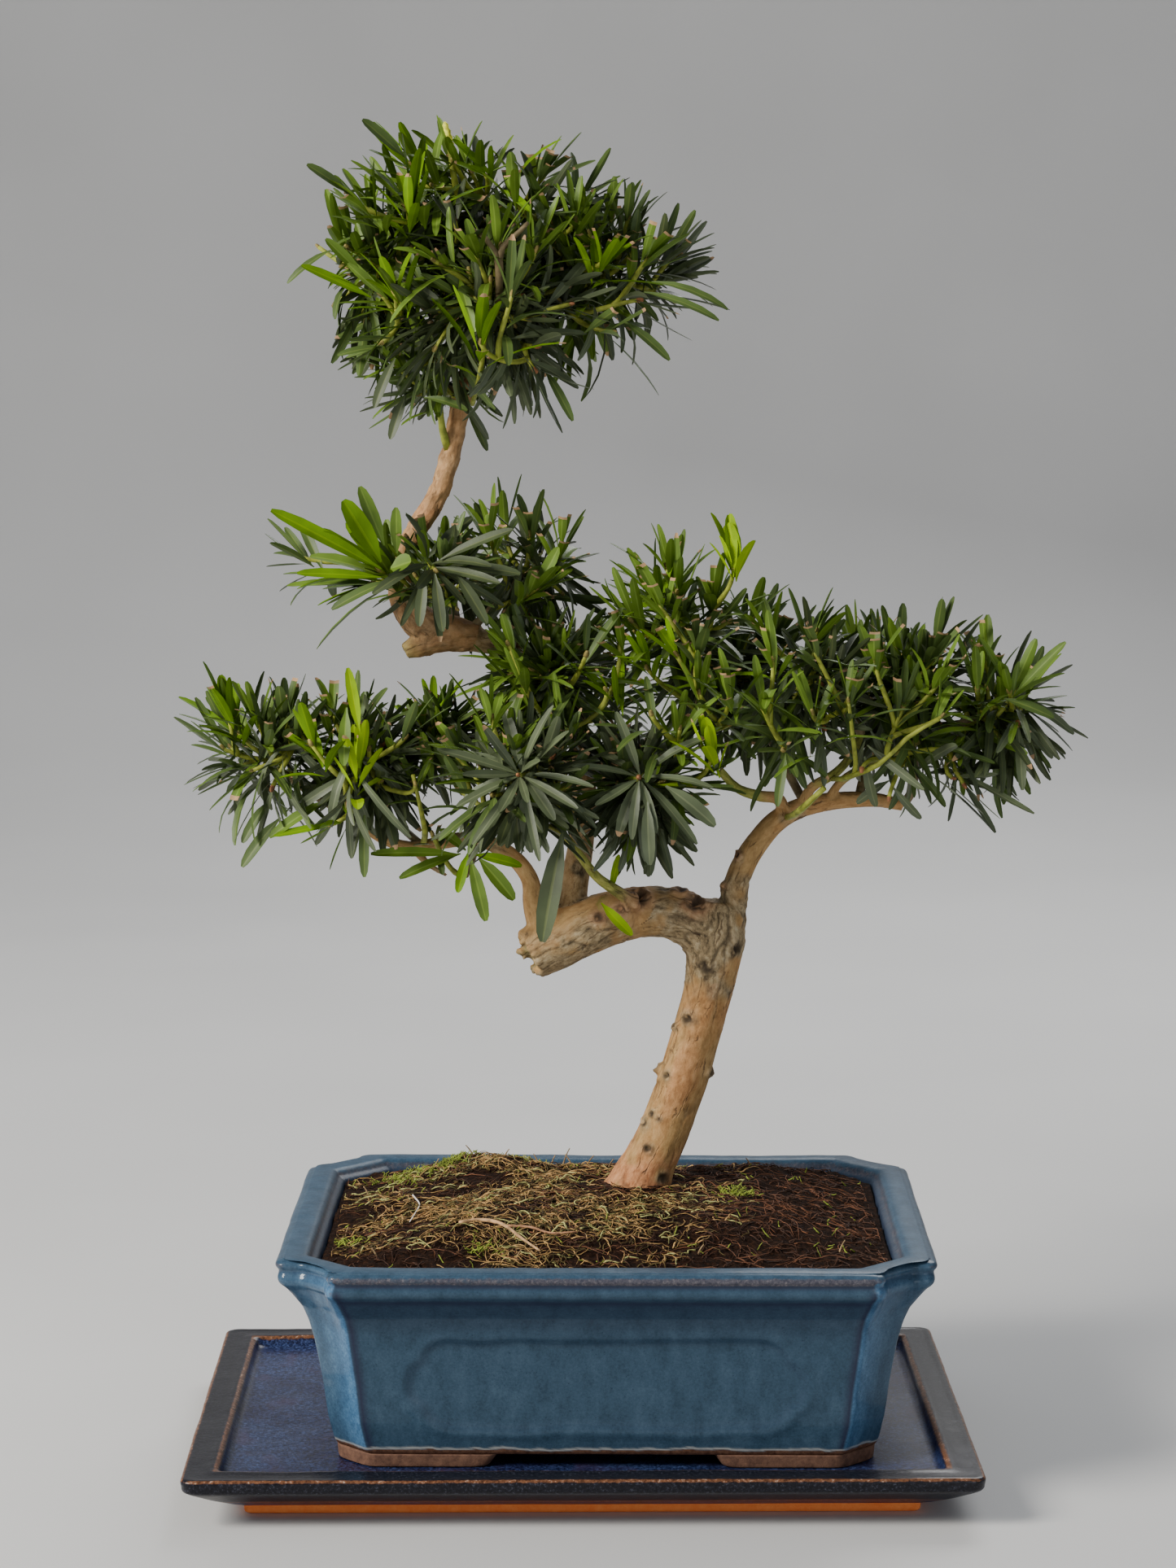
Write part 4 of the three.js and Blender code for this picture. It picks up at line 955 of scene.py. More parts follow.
def soil_surface(x, y):
    flat = on_ground(x, y)
    near, _, _ = cells(flat, 3.4, 33)
    crumbs = 0.8 * noise(flat, 12, 31, 2) + 0.8 * noise(flat, 3.6, 32, 2) + 1.1 * (0.45 - near)
    away = np.hypot(x - SEAT[0], y - SEAT[1])
    return soil_level(x, y) + crumbs * smoothstep(away, *CRUMBS_FROM_TRUNK)


def build_soil():
    ring = pot_ring(SOIL["inset"], OPENING_CHAMFER, 0)
    wall = in_row_frame(np.column_stack([ring, np.zeros(len(ring))]))
    middle = np.array([SEAT[0], SEAT[1], 0])
    verts = lerp(middle, wall[None], np.linspace(0, 1, SOIL["rings"])[:, None, None])
    verts[..., 2] = soil_surface(verts[..., 0], verts[..., 1])
    verts[-1, :, 2] -= SOIL["skirt"]
    faces = [grid_faces(*verts.shape[:2])]
    soil = make_mesh("soil_surface", verts.reshape(-1, 3), faces, [soil_look()])
    finish_piece(soil, "soil", ["soil"])


# ---------------------------------------------------------------- bark

BARK_SPACING = 0.9
LIMB_SIDES = 20
THICK_LIMB = 9
ROOT_STEPS = 14
SPLINTER_STEPS = 8
VOXEL = 0.68
LIMB_APART = 400
SEAM_JUMP = 2  # further apart than a face, so the grain there changes from limb to limb
SURFACE_ROOTS = {  # turn about the trunk, reach, radius
    "left": (3.3, 19, 4.6),
    "front": (4.5, 17, 4.2),
    "right": (5.9, 13, 3.6),
    "back": (1.3, 15, 4),
    "back_left": (2.3, 14, 3.4),
}
TRUNK_FOOT = np.array([25.0, 30.2, 103])
BEND_WEB = [(-67, 32.8, 333, 5), (-60, 33.6, 327, 6), (-50, 34.4, 324, 6.4), (-40, 35, 321.5, 5.2)]


def limb_samples():
    """Every limb's centre line with its own turning frame, for relief that follows the limb."""
    samples = {"point": [], "along": [], "side": [], "radius": [], "distance": [], "limb": []}
    for number, knots in enumerate(LIMBS.values()):
        line, radii = even_limb(knots, 1.0)
        along = unit(np.gradient(line, axis=0))
        side = unit(np.cross(along[0], [0.3, 1, 0.2]))
        for step in range(len(line)):
            side = unit(side - along[step] * (side @ along[step]))
            samples["side"].append(side)
        samples["point"].extend(line)
        samples["along"].extend(along)
        samples["radius"].extend(radii)
        samples["distance"].extend(np.arange(len(line)) * 1.0)
        samples["limb"].extend([number] * len(line))
    return {key: np.array(rows) for key, rows in samples.items()}


def outer_samples(samples):
    """The samples without those of a bough's root that still lie inside a thicker limb."""
    keep = np.ones(len(samples["point"]), bool)
    for number in range(len(LIMBS)):
        own = samples["limb"] == number
        for other in range(len(LIMBS)):
            if other == number:
                continue
            theirs = np.flatnonzero(samples["limb"] == other)
            gaps = samples["point"][own][:, None] - samples["point"][theirs][None]
            away = np.linalg.norm(gaps, axis=2)
            nearest = theirs[away.argmin(axis=1)]
            inside = away.min(axis=1) < samples["radius"][nearest] + 1
            thicker = samples["radius"][nearest] > samples["radius"][own]
            keep[np.flatnonzero(own)[inside & thicker]] = False
    return {key: rows[keep] for key, rows in samples.items()}


def tree_of(points):
    tree = KDTree(len(points))
    for number, point in enumerate(points):
        tree.insert(point, number)
    tree.balance()
    return tree


def wood_parts():
    """Centre lines and radii of the limbs, surface roots, web in the bend and splinters."""
    parts = [even_limb(knots, BARK_SPACING) for knots in LIMBS.values()]
    for turn, reach, radius in SURFACE_ROOTS.values():
        out = np.array([math.cos(turn), math.sin(turn), 0])
        share = np.linspace(0, 1, ROOT_STEPS)[:, None]
        line = TRUNK_FOOT + out * (4 + reach * share) - UP * (0.5 + 9 * share**1.6)
        parts.append((line, radius * (1 - 0.6 * share[:, 0])))
    parts.append(even_limb(BEND_WEB, BARK_SPACING))
    arm = np.array(LIMBS["trunk_arm"], float)
    end_way, girth = unit(arm[-1, :3] - arm[-2, :3]), arm[-1, 3]
    for number in range(SPLINTERS):
        out = square_to(end_way, number * TURN / SPLINTERS)
        odd = hashed(np.array([[number, 3, 7], [number, 5, 1]]), 19)
        reach = (-3, 0.3 + 3.4 * odd[0])
        ends = [arm[-1, :3] + out * girth * 0.68 + end_way * step for step in reach]
        share = np.linspace(0, 1, SPLINTER_STEPS)
        parts.append((lerp(ends[0], ends[1], share[:, None]), lerp(3.4, 1.2 + 1.6 * odd[1], share)))
    return parts


def limb_shell():
    """All the wood joined into one skin whose forks flow into each other."""
    verts, faces, count = [], [], 0
    for line, radii in wood_parts():
        points, quads, ends = tubes(line[None], radii[None], LIMB_SIDES)
        verts.append(points)
        faces += [quads + count, ends + count]
        count += len(points)
    shell = make_mesh("limb_shell", np.vstack(verts), faces, [])
    remesh = shell.modifiers.new("join", "REMESH")
    remesh.mode = "VOXEL"
    remesh.voxel_size = VOXEL * MM
    soften = shell.modifiers.new("soften", "SMOOTH")
    soften.factor = 0.6
    soften.iterations = 8
    mesh = bpy.data.meshes.new_from_object(shell.evaluated_get(bpy.context.evaluated_depsgraph_get()))
    points = np.zeros(len(mesh.vertices) * 3)
    mesh.vertices.foreach_get("co", points)
    normals = np.zeros(len(mesh.vertices) * 3)
    mesh.vertices.foreach_get("normal", normals)
    quads = np.zeros(len(mesh.loops), np.int64)
    mesh.loops.foreach_get("vertex_index", quads)
    bpy.data.objects.remove(shell)
    return points.reshape(-1, 3) / MM, normals.reshape(-1, 3), quads.reshape(-1, 4)


# Old wounds and pruning knots: middle, radius, how far the ring stands out and how deep the eye is.
KNOTS = {
    "upper": ((42.6, 17.7, 170.6), 3.3, 1.1, 1.5),
    "left_upper": ((37.7, 22.1, 166.1), 2.0, 1.8, 0),
    "middle": ((34.4, 20.1, 146.7), 2.3, 1.0, 1.3),
    "left_high": ((30.8, 27.9, 148.5), 2.3, 2.6, 0),
    "right": ((51.7, 23.0, 147.5), 2.5, 1.6, 0.4),
    "low": ((25.5, 24.4, 126.5), 2.9, 1.0, 1.0),
    "low_left": ((28.3, 22.0, 130.7), 1.8, 1.0, 0.7),
    "low_right": ((31.2, 19.5, 129.2), 1.5, 0.6, 0.5),
    "base": ((27.2, 19.7, 117.0), 2.4, 0.9, 0.9),
    "wound": ((33.4, 20.4, 104.4), 3.4, 0.8, 1.4),
    "shoot_foot": ((22.4, 12.9, 219.5), 5.4, 1.9, 1.2),
    "shoot_side": ((16.5, 10.5, 216), 3.4, 1.0, 0.2),
    "crust": ((45.8, 16.7, 217.0), 5.4, 1.1, 0.9),
    "crust_high": ((39.5, 20, 221.5), 3.2, 1.2, 0.4),
    "fork_low": ((50.3, 14.1, 192.3), 4.2, 0.7, 0.3),
    "cleft": ((62.3, 16.0, 199.1), 3.2, 0.4, 1.6),
    "bough": ((54.4, 20.5, 223.8), 3.0, 1.9, 0.2),
    "bough_high": ((62.6, 21.5, 235.6), 1.8, 1.9, 0.0),
    "arm": ((6.9, 6.4, 212.9), 3.0, 0.5, 0.4),
}
SPLINTERS = 6
FORK = np.array([50, 20, 207])
FORK_REACH = 27
STUB_END = np.array([-22, 11.3, 196.2])
STUB = {"reach": 18, "torn": 15, "hollow": 6.5, "hollow_depth": 2.4}
BEND_STUB = np.array([-69.6, 32.6, 315.4])
MOSSY_REACH = 6
# Heights on the wood: where it is red, crusted, blushed and grey, and where its scars turn red.
RED_BELOW = 122
CRUSTED = (170, 262)
BLUSH_BELOW = 185
GREY_ABOVE = 200
RED_SCARS_ABOVE = 205
# How far along a green bough the crust of its foot ends, and where its bark turns green.
CRUST_END = 9
GREEN_FROM, GREEN_AT = 11, 19


def on_limbs(limb, *names):
    return np.isin(limb, [list(LIMBS).index(name) for name in names])


def straightened(verts, samples, near):
    """Each point's place on its limb as if that limb stood straight, a long way from the others."""
    along, side, radius = samples["along"][near], samples["side"][near], samples["radius"][near]
    offset = verts - samples["point"][near]
    sideways = np.einsum("ij,ij->i", offset, np.cross(along, side))
    angle = np.arctan2(sideways, np.einsum("ij,ij->i", offset, side))
    distance = samples["distance"][near] + np.einsum("ij,ij->i", offset, along)
    height = distance + LIMB_APART * samples["limb"][near]
    straight = np.stack([radius * np.cos(angle), radius * np.sin(angle), height], -1)
    return straight + 0.8 * noise(straight, 6, 60)[:, None]


def bark_scales(verts, straight):
    """The small scales of the upper trunk: their relief, and how dark their edges are."""
    nearest, next_nearest, number = cells(straight * [1, 1, 0.7], 3.4, 77)
    edges = smoothstep(0.14 - (next_nearest - nearest), 0, 0.14)
    edges = edges * smoothstep(noise(verts, 4, 80), -0.2, 0.3)
    flecks = smoothstep(noise(straight * [1, 1, 0.7], 2.2, 81, 2), 0.05, 0.4)
    relief = 0.7 * noise(straight * [1, 1, 0.7], 3.4, 78, 2) + 0.5 * (number - 0.5)
    return relief, np.maximum(0.3 * edges, 0.28 * flecks)


def bark_knots(verts, dark):
    """The knots' relief, the darkness with their eyes, and how scarred the bark is."""
    relief = np.zeros(len(verts))
    scar = np.zeros(len(verts))
    uneven = 0.3 * noise(verts, 2.6, 65, 2)
    ring = 0.45 + 0.55 * smoothstep(noise(verts, 3.4, 67), -0.4, 0.3)
    patchy = smoothstep(noise(verts, 1.6, 68, 2), -0.5, 0)
    for middle, size, rise, depth in KNOTS.values():
        away = np.linalg.norm((verts - np.array(middle)) * [1, 0.8, 1.1], axis=1) / size
        away = np.clip(away + uneven, 0, None)
        relief += rise * ring * bell(away, 0.75, 0.36) - depth * bell(away, 0, 0.42)
        dark = np.maximum(dark, 0.92 * np.exp(-((away / 0.85) ** 4)) * patchy)
        scar = np.maximum(scar, np.exp(-((away / 1.25) ** 4)))
    return relief, dark, scar


def cut_stub(verts, normals, straight, end_way):
    """The arm's sawn end: its rough relief, and its hollow heart."""
    offset = verts - STUB_END
    away = np.linalg.norm(offset, axis=1)
    end = smoothstep(normals @ end_way, 0.25, 0.6) * (away < STUB["reach"])
    hollow = end * bell(np.linalg.norm(np.cross(offset, end_way), axis=1), 0, STUB["hollow"])
    torn = 1.3 * noise(straight * [1, 1, 0.4], 3.2, 68, 2) + 0.5 * noise(verts, 1.8, 69)
    return smoothstep(STUB["torn"] - away, 0, 6) * torn - STUB["hollow_depth"] * hollow, hollow


def split_grain(verts, quads, straight):
    """The straightened place of every face corner, smooth across each face at the seams too."""
    corners, grain = verts[quads], straight[quads]
    seam = np.ptp(grain, axis=1).max(axis=1) > SEAM_JUMP
    grain[seam] = grain[seam][:, :1] + (corners - corners[:, :1])[seam]
    return grain.reshape(-1, 3)


def build_bark(samples):
    verts, normals, quads = limb_shell()
    samples = outer_samples(samples)
    tree = tree_of(samples["point"])
    near = np.array([tree.find(point)[1] for point in verts])
    straight = straightened(verts, samples, near)
    radius, limb, distance = (samples[key][near] for key in ("radius", "limb", "distance"))
    height = verts[:, 2]
    green_limbs = on_limbs(limb, *GREEN_LIMBS)
    scaly = on_limbs(limb, "trunk_top", "trunk_bend")
    rise, arm = on_limbs(limb, "trunk_rise"), on_limbs(limb, "trunk_arm")
    old_trunk = on_limbs(limb, "trunk_lower", "trunk_arm") * (height < BLUSH_BELOW)
    girth = radius / THICK_LIMB

    rough = np.clip(girth, 0.25, 1.15) * np.where(green_limbs, 0.5, 1)
    fork = np.exp(-((np.linalg.norm(verts - FORK, axis=1) / FORK_REACH) ** 3))
    old = (height > CRUSTED[0]) & (height < CRUSTED[1]) & ~(green_limbs & (distance > CRUST_END))
    crust = noise(verts * [1, 1, 0.8], 8, 73, 2) + 1.15 * fork - 0.5
    crust = old * smoothstep(crust, -0.2, 0.35)
    flaky = smoothstep(noise(verts * [1, 1, 0.6], 15, 64, 2), -0.05, 0.5)
    nearest, next_nearest, number = cells(straight * [1, 1, 0.25], 5.5, 61)
    crack = smoothstep(0.1 - (next_nearest - nearest), 0, 0.1) * np.clip(flaky + crust, 0, 1)
    relief = rough * (0.6 * flaky * (number - 0.5) - 0.35 * crack)
    relief += crust * (0.75 * noise(verts, 3.4, 66, 2) + 0.35 * (number - 0.5))
    relief += 0.75 * noise(straight * [1, 1, 0.4], 11, 63, 2) * np.clip(girth, 0.2, 1.2) - 0.3
    scales, scale_dark = bark_scales(verts, straight)
    knots, dark, scar = bark_knots(verts, np.maximum(0.55 * crack, scaly * scale_dark))
    end_way = samples["along"][samples["limb"] == list(LIMBS).index("trunk_arm")][-1]
    stub, hollow = cut_stub(verts, normals, straight, end_way)
    relief += scaly * scales + knots + stub
    verts = verts + normals * relief[:, None]

    low = smoothstep(RED_BELOW - height, 0, 20) * smoothstep(noise(verts, 7, 71, 2), -0.5, 0.1)
    blush = smoothstep(noise(straight * [1, 1, 0.5], 12, 72, 2), 0.1, 0.5) * 0.6
    moss_end = bell(np.linalg.norm(verts - BEND_STUB, axis=1), 0, MOSSY_REACH)
    # Grey patches on the arm, kept off its top, so they partly paint shade on its sides and underside.
    arm_grey_and_shade = 0.95 * arm * smoothstep(noise(verts, 7, 79, 3), -0.4, 0.25)
    arm_grey_and_shade = arm_grey_and_shade * smoothstep(0.5 - normals[:, 2], -0.3, 0.6)
    fresh = smoothstep(distance + 3 * noise(verts, 4, 76), GREEN_FROM, GREEN_AT)
    dark = dark + 0.3 * rise * crack + 0.7 * hollow * smoothstep(noise(verts, 4, 70), -0.3, 0.2)
    red = low + 0.7 * blush * old_trunk + (0.3 + 0.5 * blush) * scaly
    red = red + 0.5 * scar * (height > RED_SCARS_ABOVE)
    weathered_and_shaded = crust + 0.55 * rise + 0.8 * scar + 0.35 * scaly + arm_grey_and_shade
    weathered_and_shaded = weathered_and_shaded + 0.35 * flaky * (height > GREY_ABOVE)
    green = green_limbs * fresh + 0.6 * moss_end + 0.45 * hollow
    values = {
        "grain": split_grain(verts, quads, straight) * MM, "dark": np.clip(dark, 0, 1),
        "red": np.clip(red, 0, 0.85), "weathered_and_shaded": np.clip(weathered_and_shaded, 0, 1),
        "green": np.clip(green, 0, 1),
    }
    bark = make_mesh("bark_relief", verts, [quads], [bark_look()], None, values)
    finish_piece(bark, "bark", list(LIMBS))


# ---------------------------------------------------------------- foliage

STEM_REACH = 0.9
SPACE_SHARE = 1.5
LEAF_ROOM = 16
# Shoots stand in two layers of each mass: their spacing, and their reach towards its surface.
LAYERS = {
    "outer": {"spacing": 21.5, "low": 0.74, "high": 1.06},
    "inner": {"spacing": 30, "low": 0.36, "high": 0.62},
}
# The share of their places that bear a shoot, in the masses that are open in the photo.
FILL = {
    "middle_left": 0.3, "middle_front": 0.75, "left_shoot": 0.3, "middle_right": 0.75, "left_outer": 0.6,
    "left_inner": 0.6, "left_back": 0.7, "right_tip": 0.6, "right_outer": 0.7, "right_middle": 0.8,
    "right_back": 0.8, "right_far_back": 0.65, "top_left": 0.7, "top_right": 0.84, "top_front": 0.85,
    "top_peak": 0.9, "top_back": 0.8, "top_low": 0.75,
}
BARE_SHARE = 0.1
OPENING = {"size": 24, "most": 0.15}  # gaps between sprays, by noise of that size
FRONT_LIGHT = np.array([-0.1, -0.75, 0.65])
STRAY = 1.12  # how far past its mass's space a leaf may reach
NAMED_STRAY = 1.45  # the same for leaves of the shoots that stand out
# Where a leaf's points lie along it, and across it from edge to edge.
LEAF_ROWS = np.array([0, 0.1, 0.28, 0.5, 0.74, 0.92, 1])
LEAF_COLUMNS = np.array([-1, -0.13, 0.13, 1])
# The tones from deep to bright are mostly one green painted darker for shaded leaves and lighter for lit
# ones; young is the colour of new growth.
LEAF_KINDS = {  # blade and rib colours, and the blade's roughness and sheen
    "deep": ((0.05, 0.068, 0.026), (0.085, 0.105, 0.036), 0.5, 0.35),
    "dark": ((0.066, 0.108, 0.022), (0.11, 0.155, 0.032), 0.48, 0.32),
    "mid": ((0.098, 0.17, 0.016), (0.15, 0.235, 0.03), 0.48, 0.26),
    "bright": ((0.108, 0.215, 0.0), (0.15, 0.27, 0.0), 0.55, 0.12),
    "young": ((0.25, 0.41, 0.0), (0.31, 0.47, 0.0), 0.55, 0.12),
    "grey": ((0.078, 0.1, 0.048), (0.125, 0.15, 0.075), 0.45, 0.35),
}
CUT_EDGE = (0.42, 0.26, 0.13)
BUD_COLOURS = {
    "buds": (0.28, 0.22, 0.06), "red_buds": (0.32, 0.13, 0.05), "bright_buds": (0.62, 0.62, 0.05),
}
BUD_PROFILE = np.array([0.5, 1.0, 0.7, 1.05, 0.75, 0.95, 0.6, 0.75, 0.2])
TWIG_STEPS = 10
CURVE_STEPS = 12
SHORTEST_TWIG = 7
TIP_SPACING = 11
STEM_RADII = (1.9, 1.2)
TWIG_RADII = (1.25, 0.85)
LEAF_GAP, TIP_GAP = 1.5, 2.5  # room left beside a limb by a leaf and by a shoot's tip
LEAF_CUTBACKS = (1, 0.86, 0.72)  # shares of its length that a leaf is tried at
FULL_LEAF_MASS = 31  # masses smaller than this bear smaller leaves
FOLIAGE_SEED = 500
LONG_BUD = ((-50, 12, 513), (-4, 0, 17), 1.7)

# How a shoot bears its leaves: count, length, width, tilt of the lowest and topmost leaves from
# the shoot, how far they hang, the length of shoot that bears them and the share cut short.
DRESS = {
    "young": (11, 25, 4.6, 0.95, 0.1, 0.0, 14, 0.12),
    "fan": (11, 25, 6.0, 0.38, 0.06, 0.0, 5, 0.0),
    "sweep": (8, 42, 6, 0.6, 0.12, 0.0, 8, 0.0),
    "upright": (10, 26, 3.6, 1.1, 0.15, 0.2, 17, 0.12),
    "clipped": (10, 24, 4.2, 0.9, 0.12, 0.1, 13, 0.6),
    "spread": (10, 27, 3.5, 1.3, 0.3, 0.5, 19, 0.05),
    "hanging": (10, 32, 3.4, 1.35, 0.4, 1.0, 20, 0.02),
    "rosette": (18, 32, 4.0, 1.5, 0.55, 0.35, 9, 0.04),
    "few": (8, 30, 4.4, 1.0, 0.1, 0.1, 14, 0.2),
    "small": (6, 20, 3.7, 1.3, 0.4, 0.4, 9, 0.05),
}
DRESS_TERMS = ("leaves", "length", "width", "low", "high", "hang", "zone", "cut")

# Places where the photo shows wood or sky through the front: x and z ranges, and how far back.
CLEARINGS = [
    ((-150, -97), (438, 494), 200), ((54, 120), (466, 560), 200), ((-150, 120), (533, 560), 200),
    ((38, 120), (500, 560), 200), ((-150, -84), (506, 560), 200),
    ((-42, -6), (203, 243), 60),
    ((-75, -38), (306, 336), 34), ((-38, -21), (459, 474), -16), ((-78, -48), (372, 405), 60),
    ((38, 90), (380, 449), 200), ((20, 90), (380, 438), 200), ((4, 90), (380, 428), 200),
    ((-10, 90), (380, 418), 200), ((-150, -98), (380, 438), 200), ((-150, -88), (380, 424), 200),
]
GREEN_STEMS = [  # thick yellow-green shoots that show beside the wood
    [(-89, 20, 249, 1.5), (-90, 4, 252, 1.7), (-91, -8, 264, 1.6), (-92, -14, 279, 1.1)],
    [(-62, 18, 241, 1.4), (-61, 4, 248, 1.5), (-63, -8, 262, 1.3), (-65, -11, 272, 0.8)],
    [
        (100, 22, 266, 1.2), (104, 2, 269, 1.4), (116, -10, 276, 1.3), (127, -12, 287, 1.1),
        (138, -16, 294, 0.9),
    ],
    [(104, 14, 267, 1.2), (107, -2, 272, 1.3), (105, -12, 287, 1.1), (103, -16, 300, 0.8)],
    [(82, 26, 250, 1.5), (84, 6, 254, 1.7), (88, -8, 260, 1.6), (94, -14, 267, 1.2)],
    [
        (-52, 30, 396, 1.6), (-54, 26, 404, 2.2), (-55, 24, 414, 2.3), (-56, 22, 428, 2.1),
        (-57, 21, 437, 1.3),
    ],
    [(-47, 20, 492, 1.3), (-49, 15, 503, 1.4), (-50, 12, 514, 1.5)],
    [(-42, 20, 414, 1.0), (-39, -10, 424, 1.2), (-37, -22, 434, 1.3), (-36, -22, 446, 0.9)],
]
BARE_FORKS = [  # inner branches that show through the top crown, as places and radii
    [
        (-40, 20, 440, 2.4), (-32, -4, 452, 2.1), (-31, -14, 462, 1.9), (-33, -15, 474, 1.5),
        (-42, -16, 481, 0.9),
    ],
    [(-31, -14, 464, 1.6), (-30, -15, 473, 1.4), (-24, -16, 479, 1.1), (-20, -17, 483, 0.8)],
    [(-46, 30, 424, 1.8), (-54, 22, 428, 1.8), (-57, 16, 438, 1.6), (-58, 12, 446, 1.2)],
]

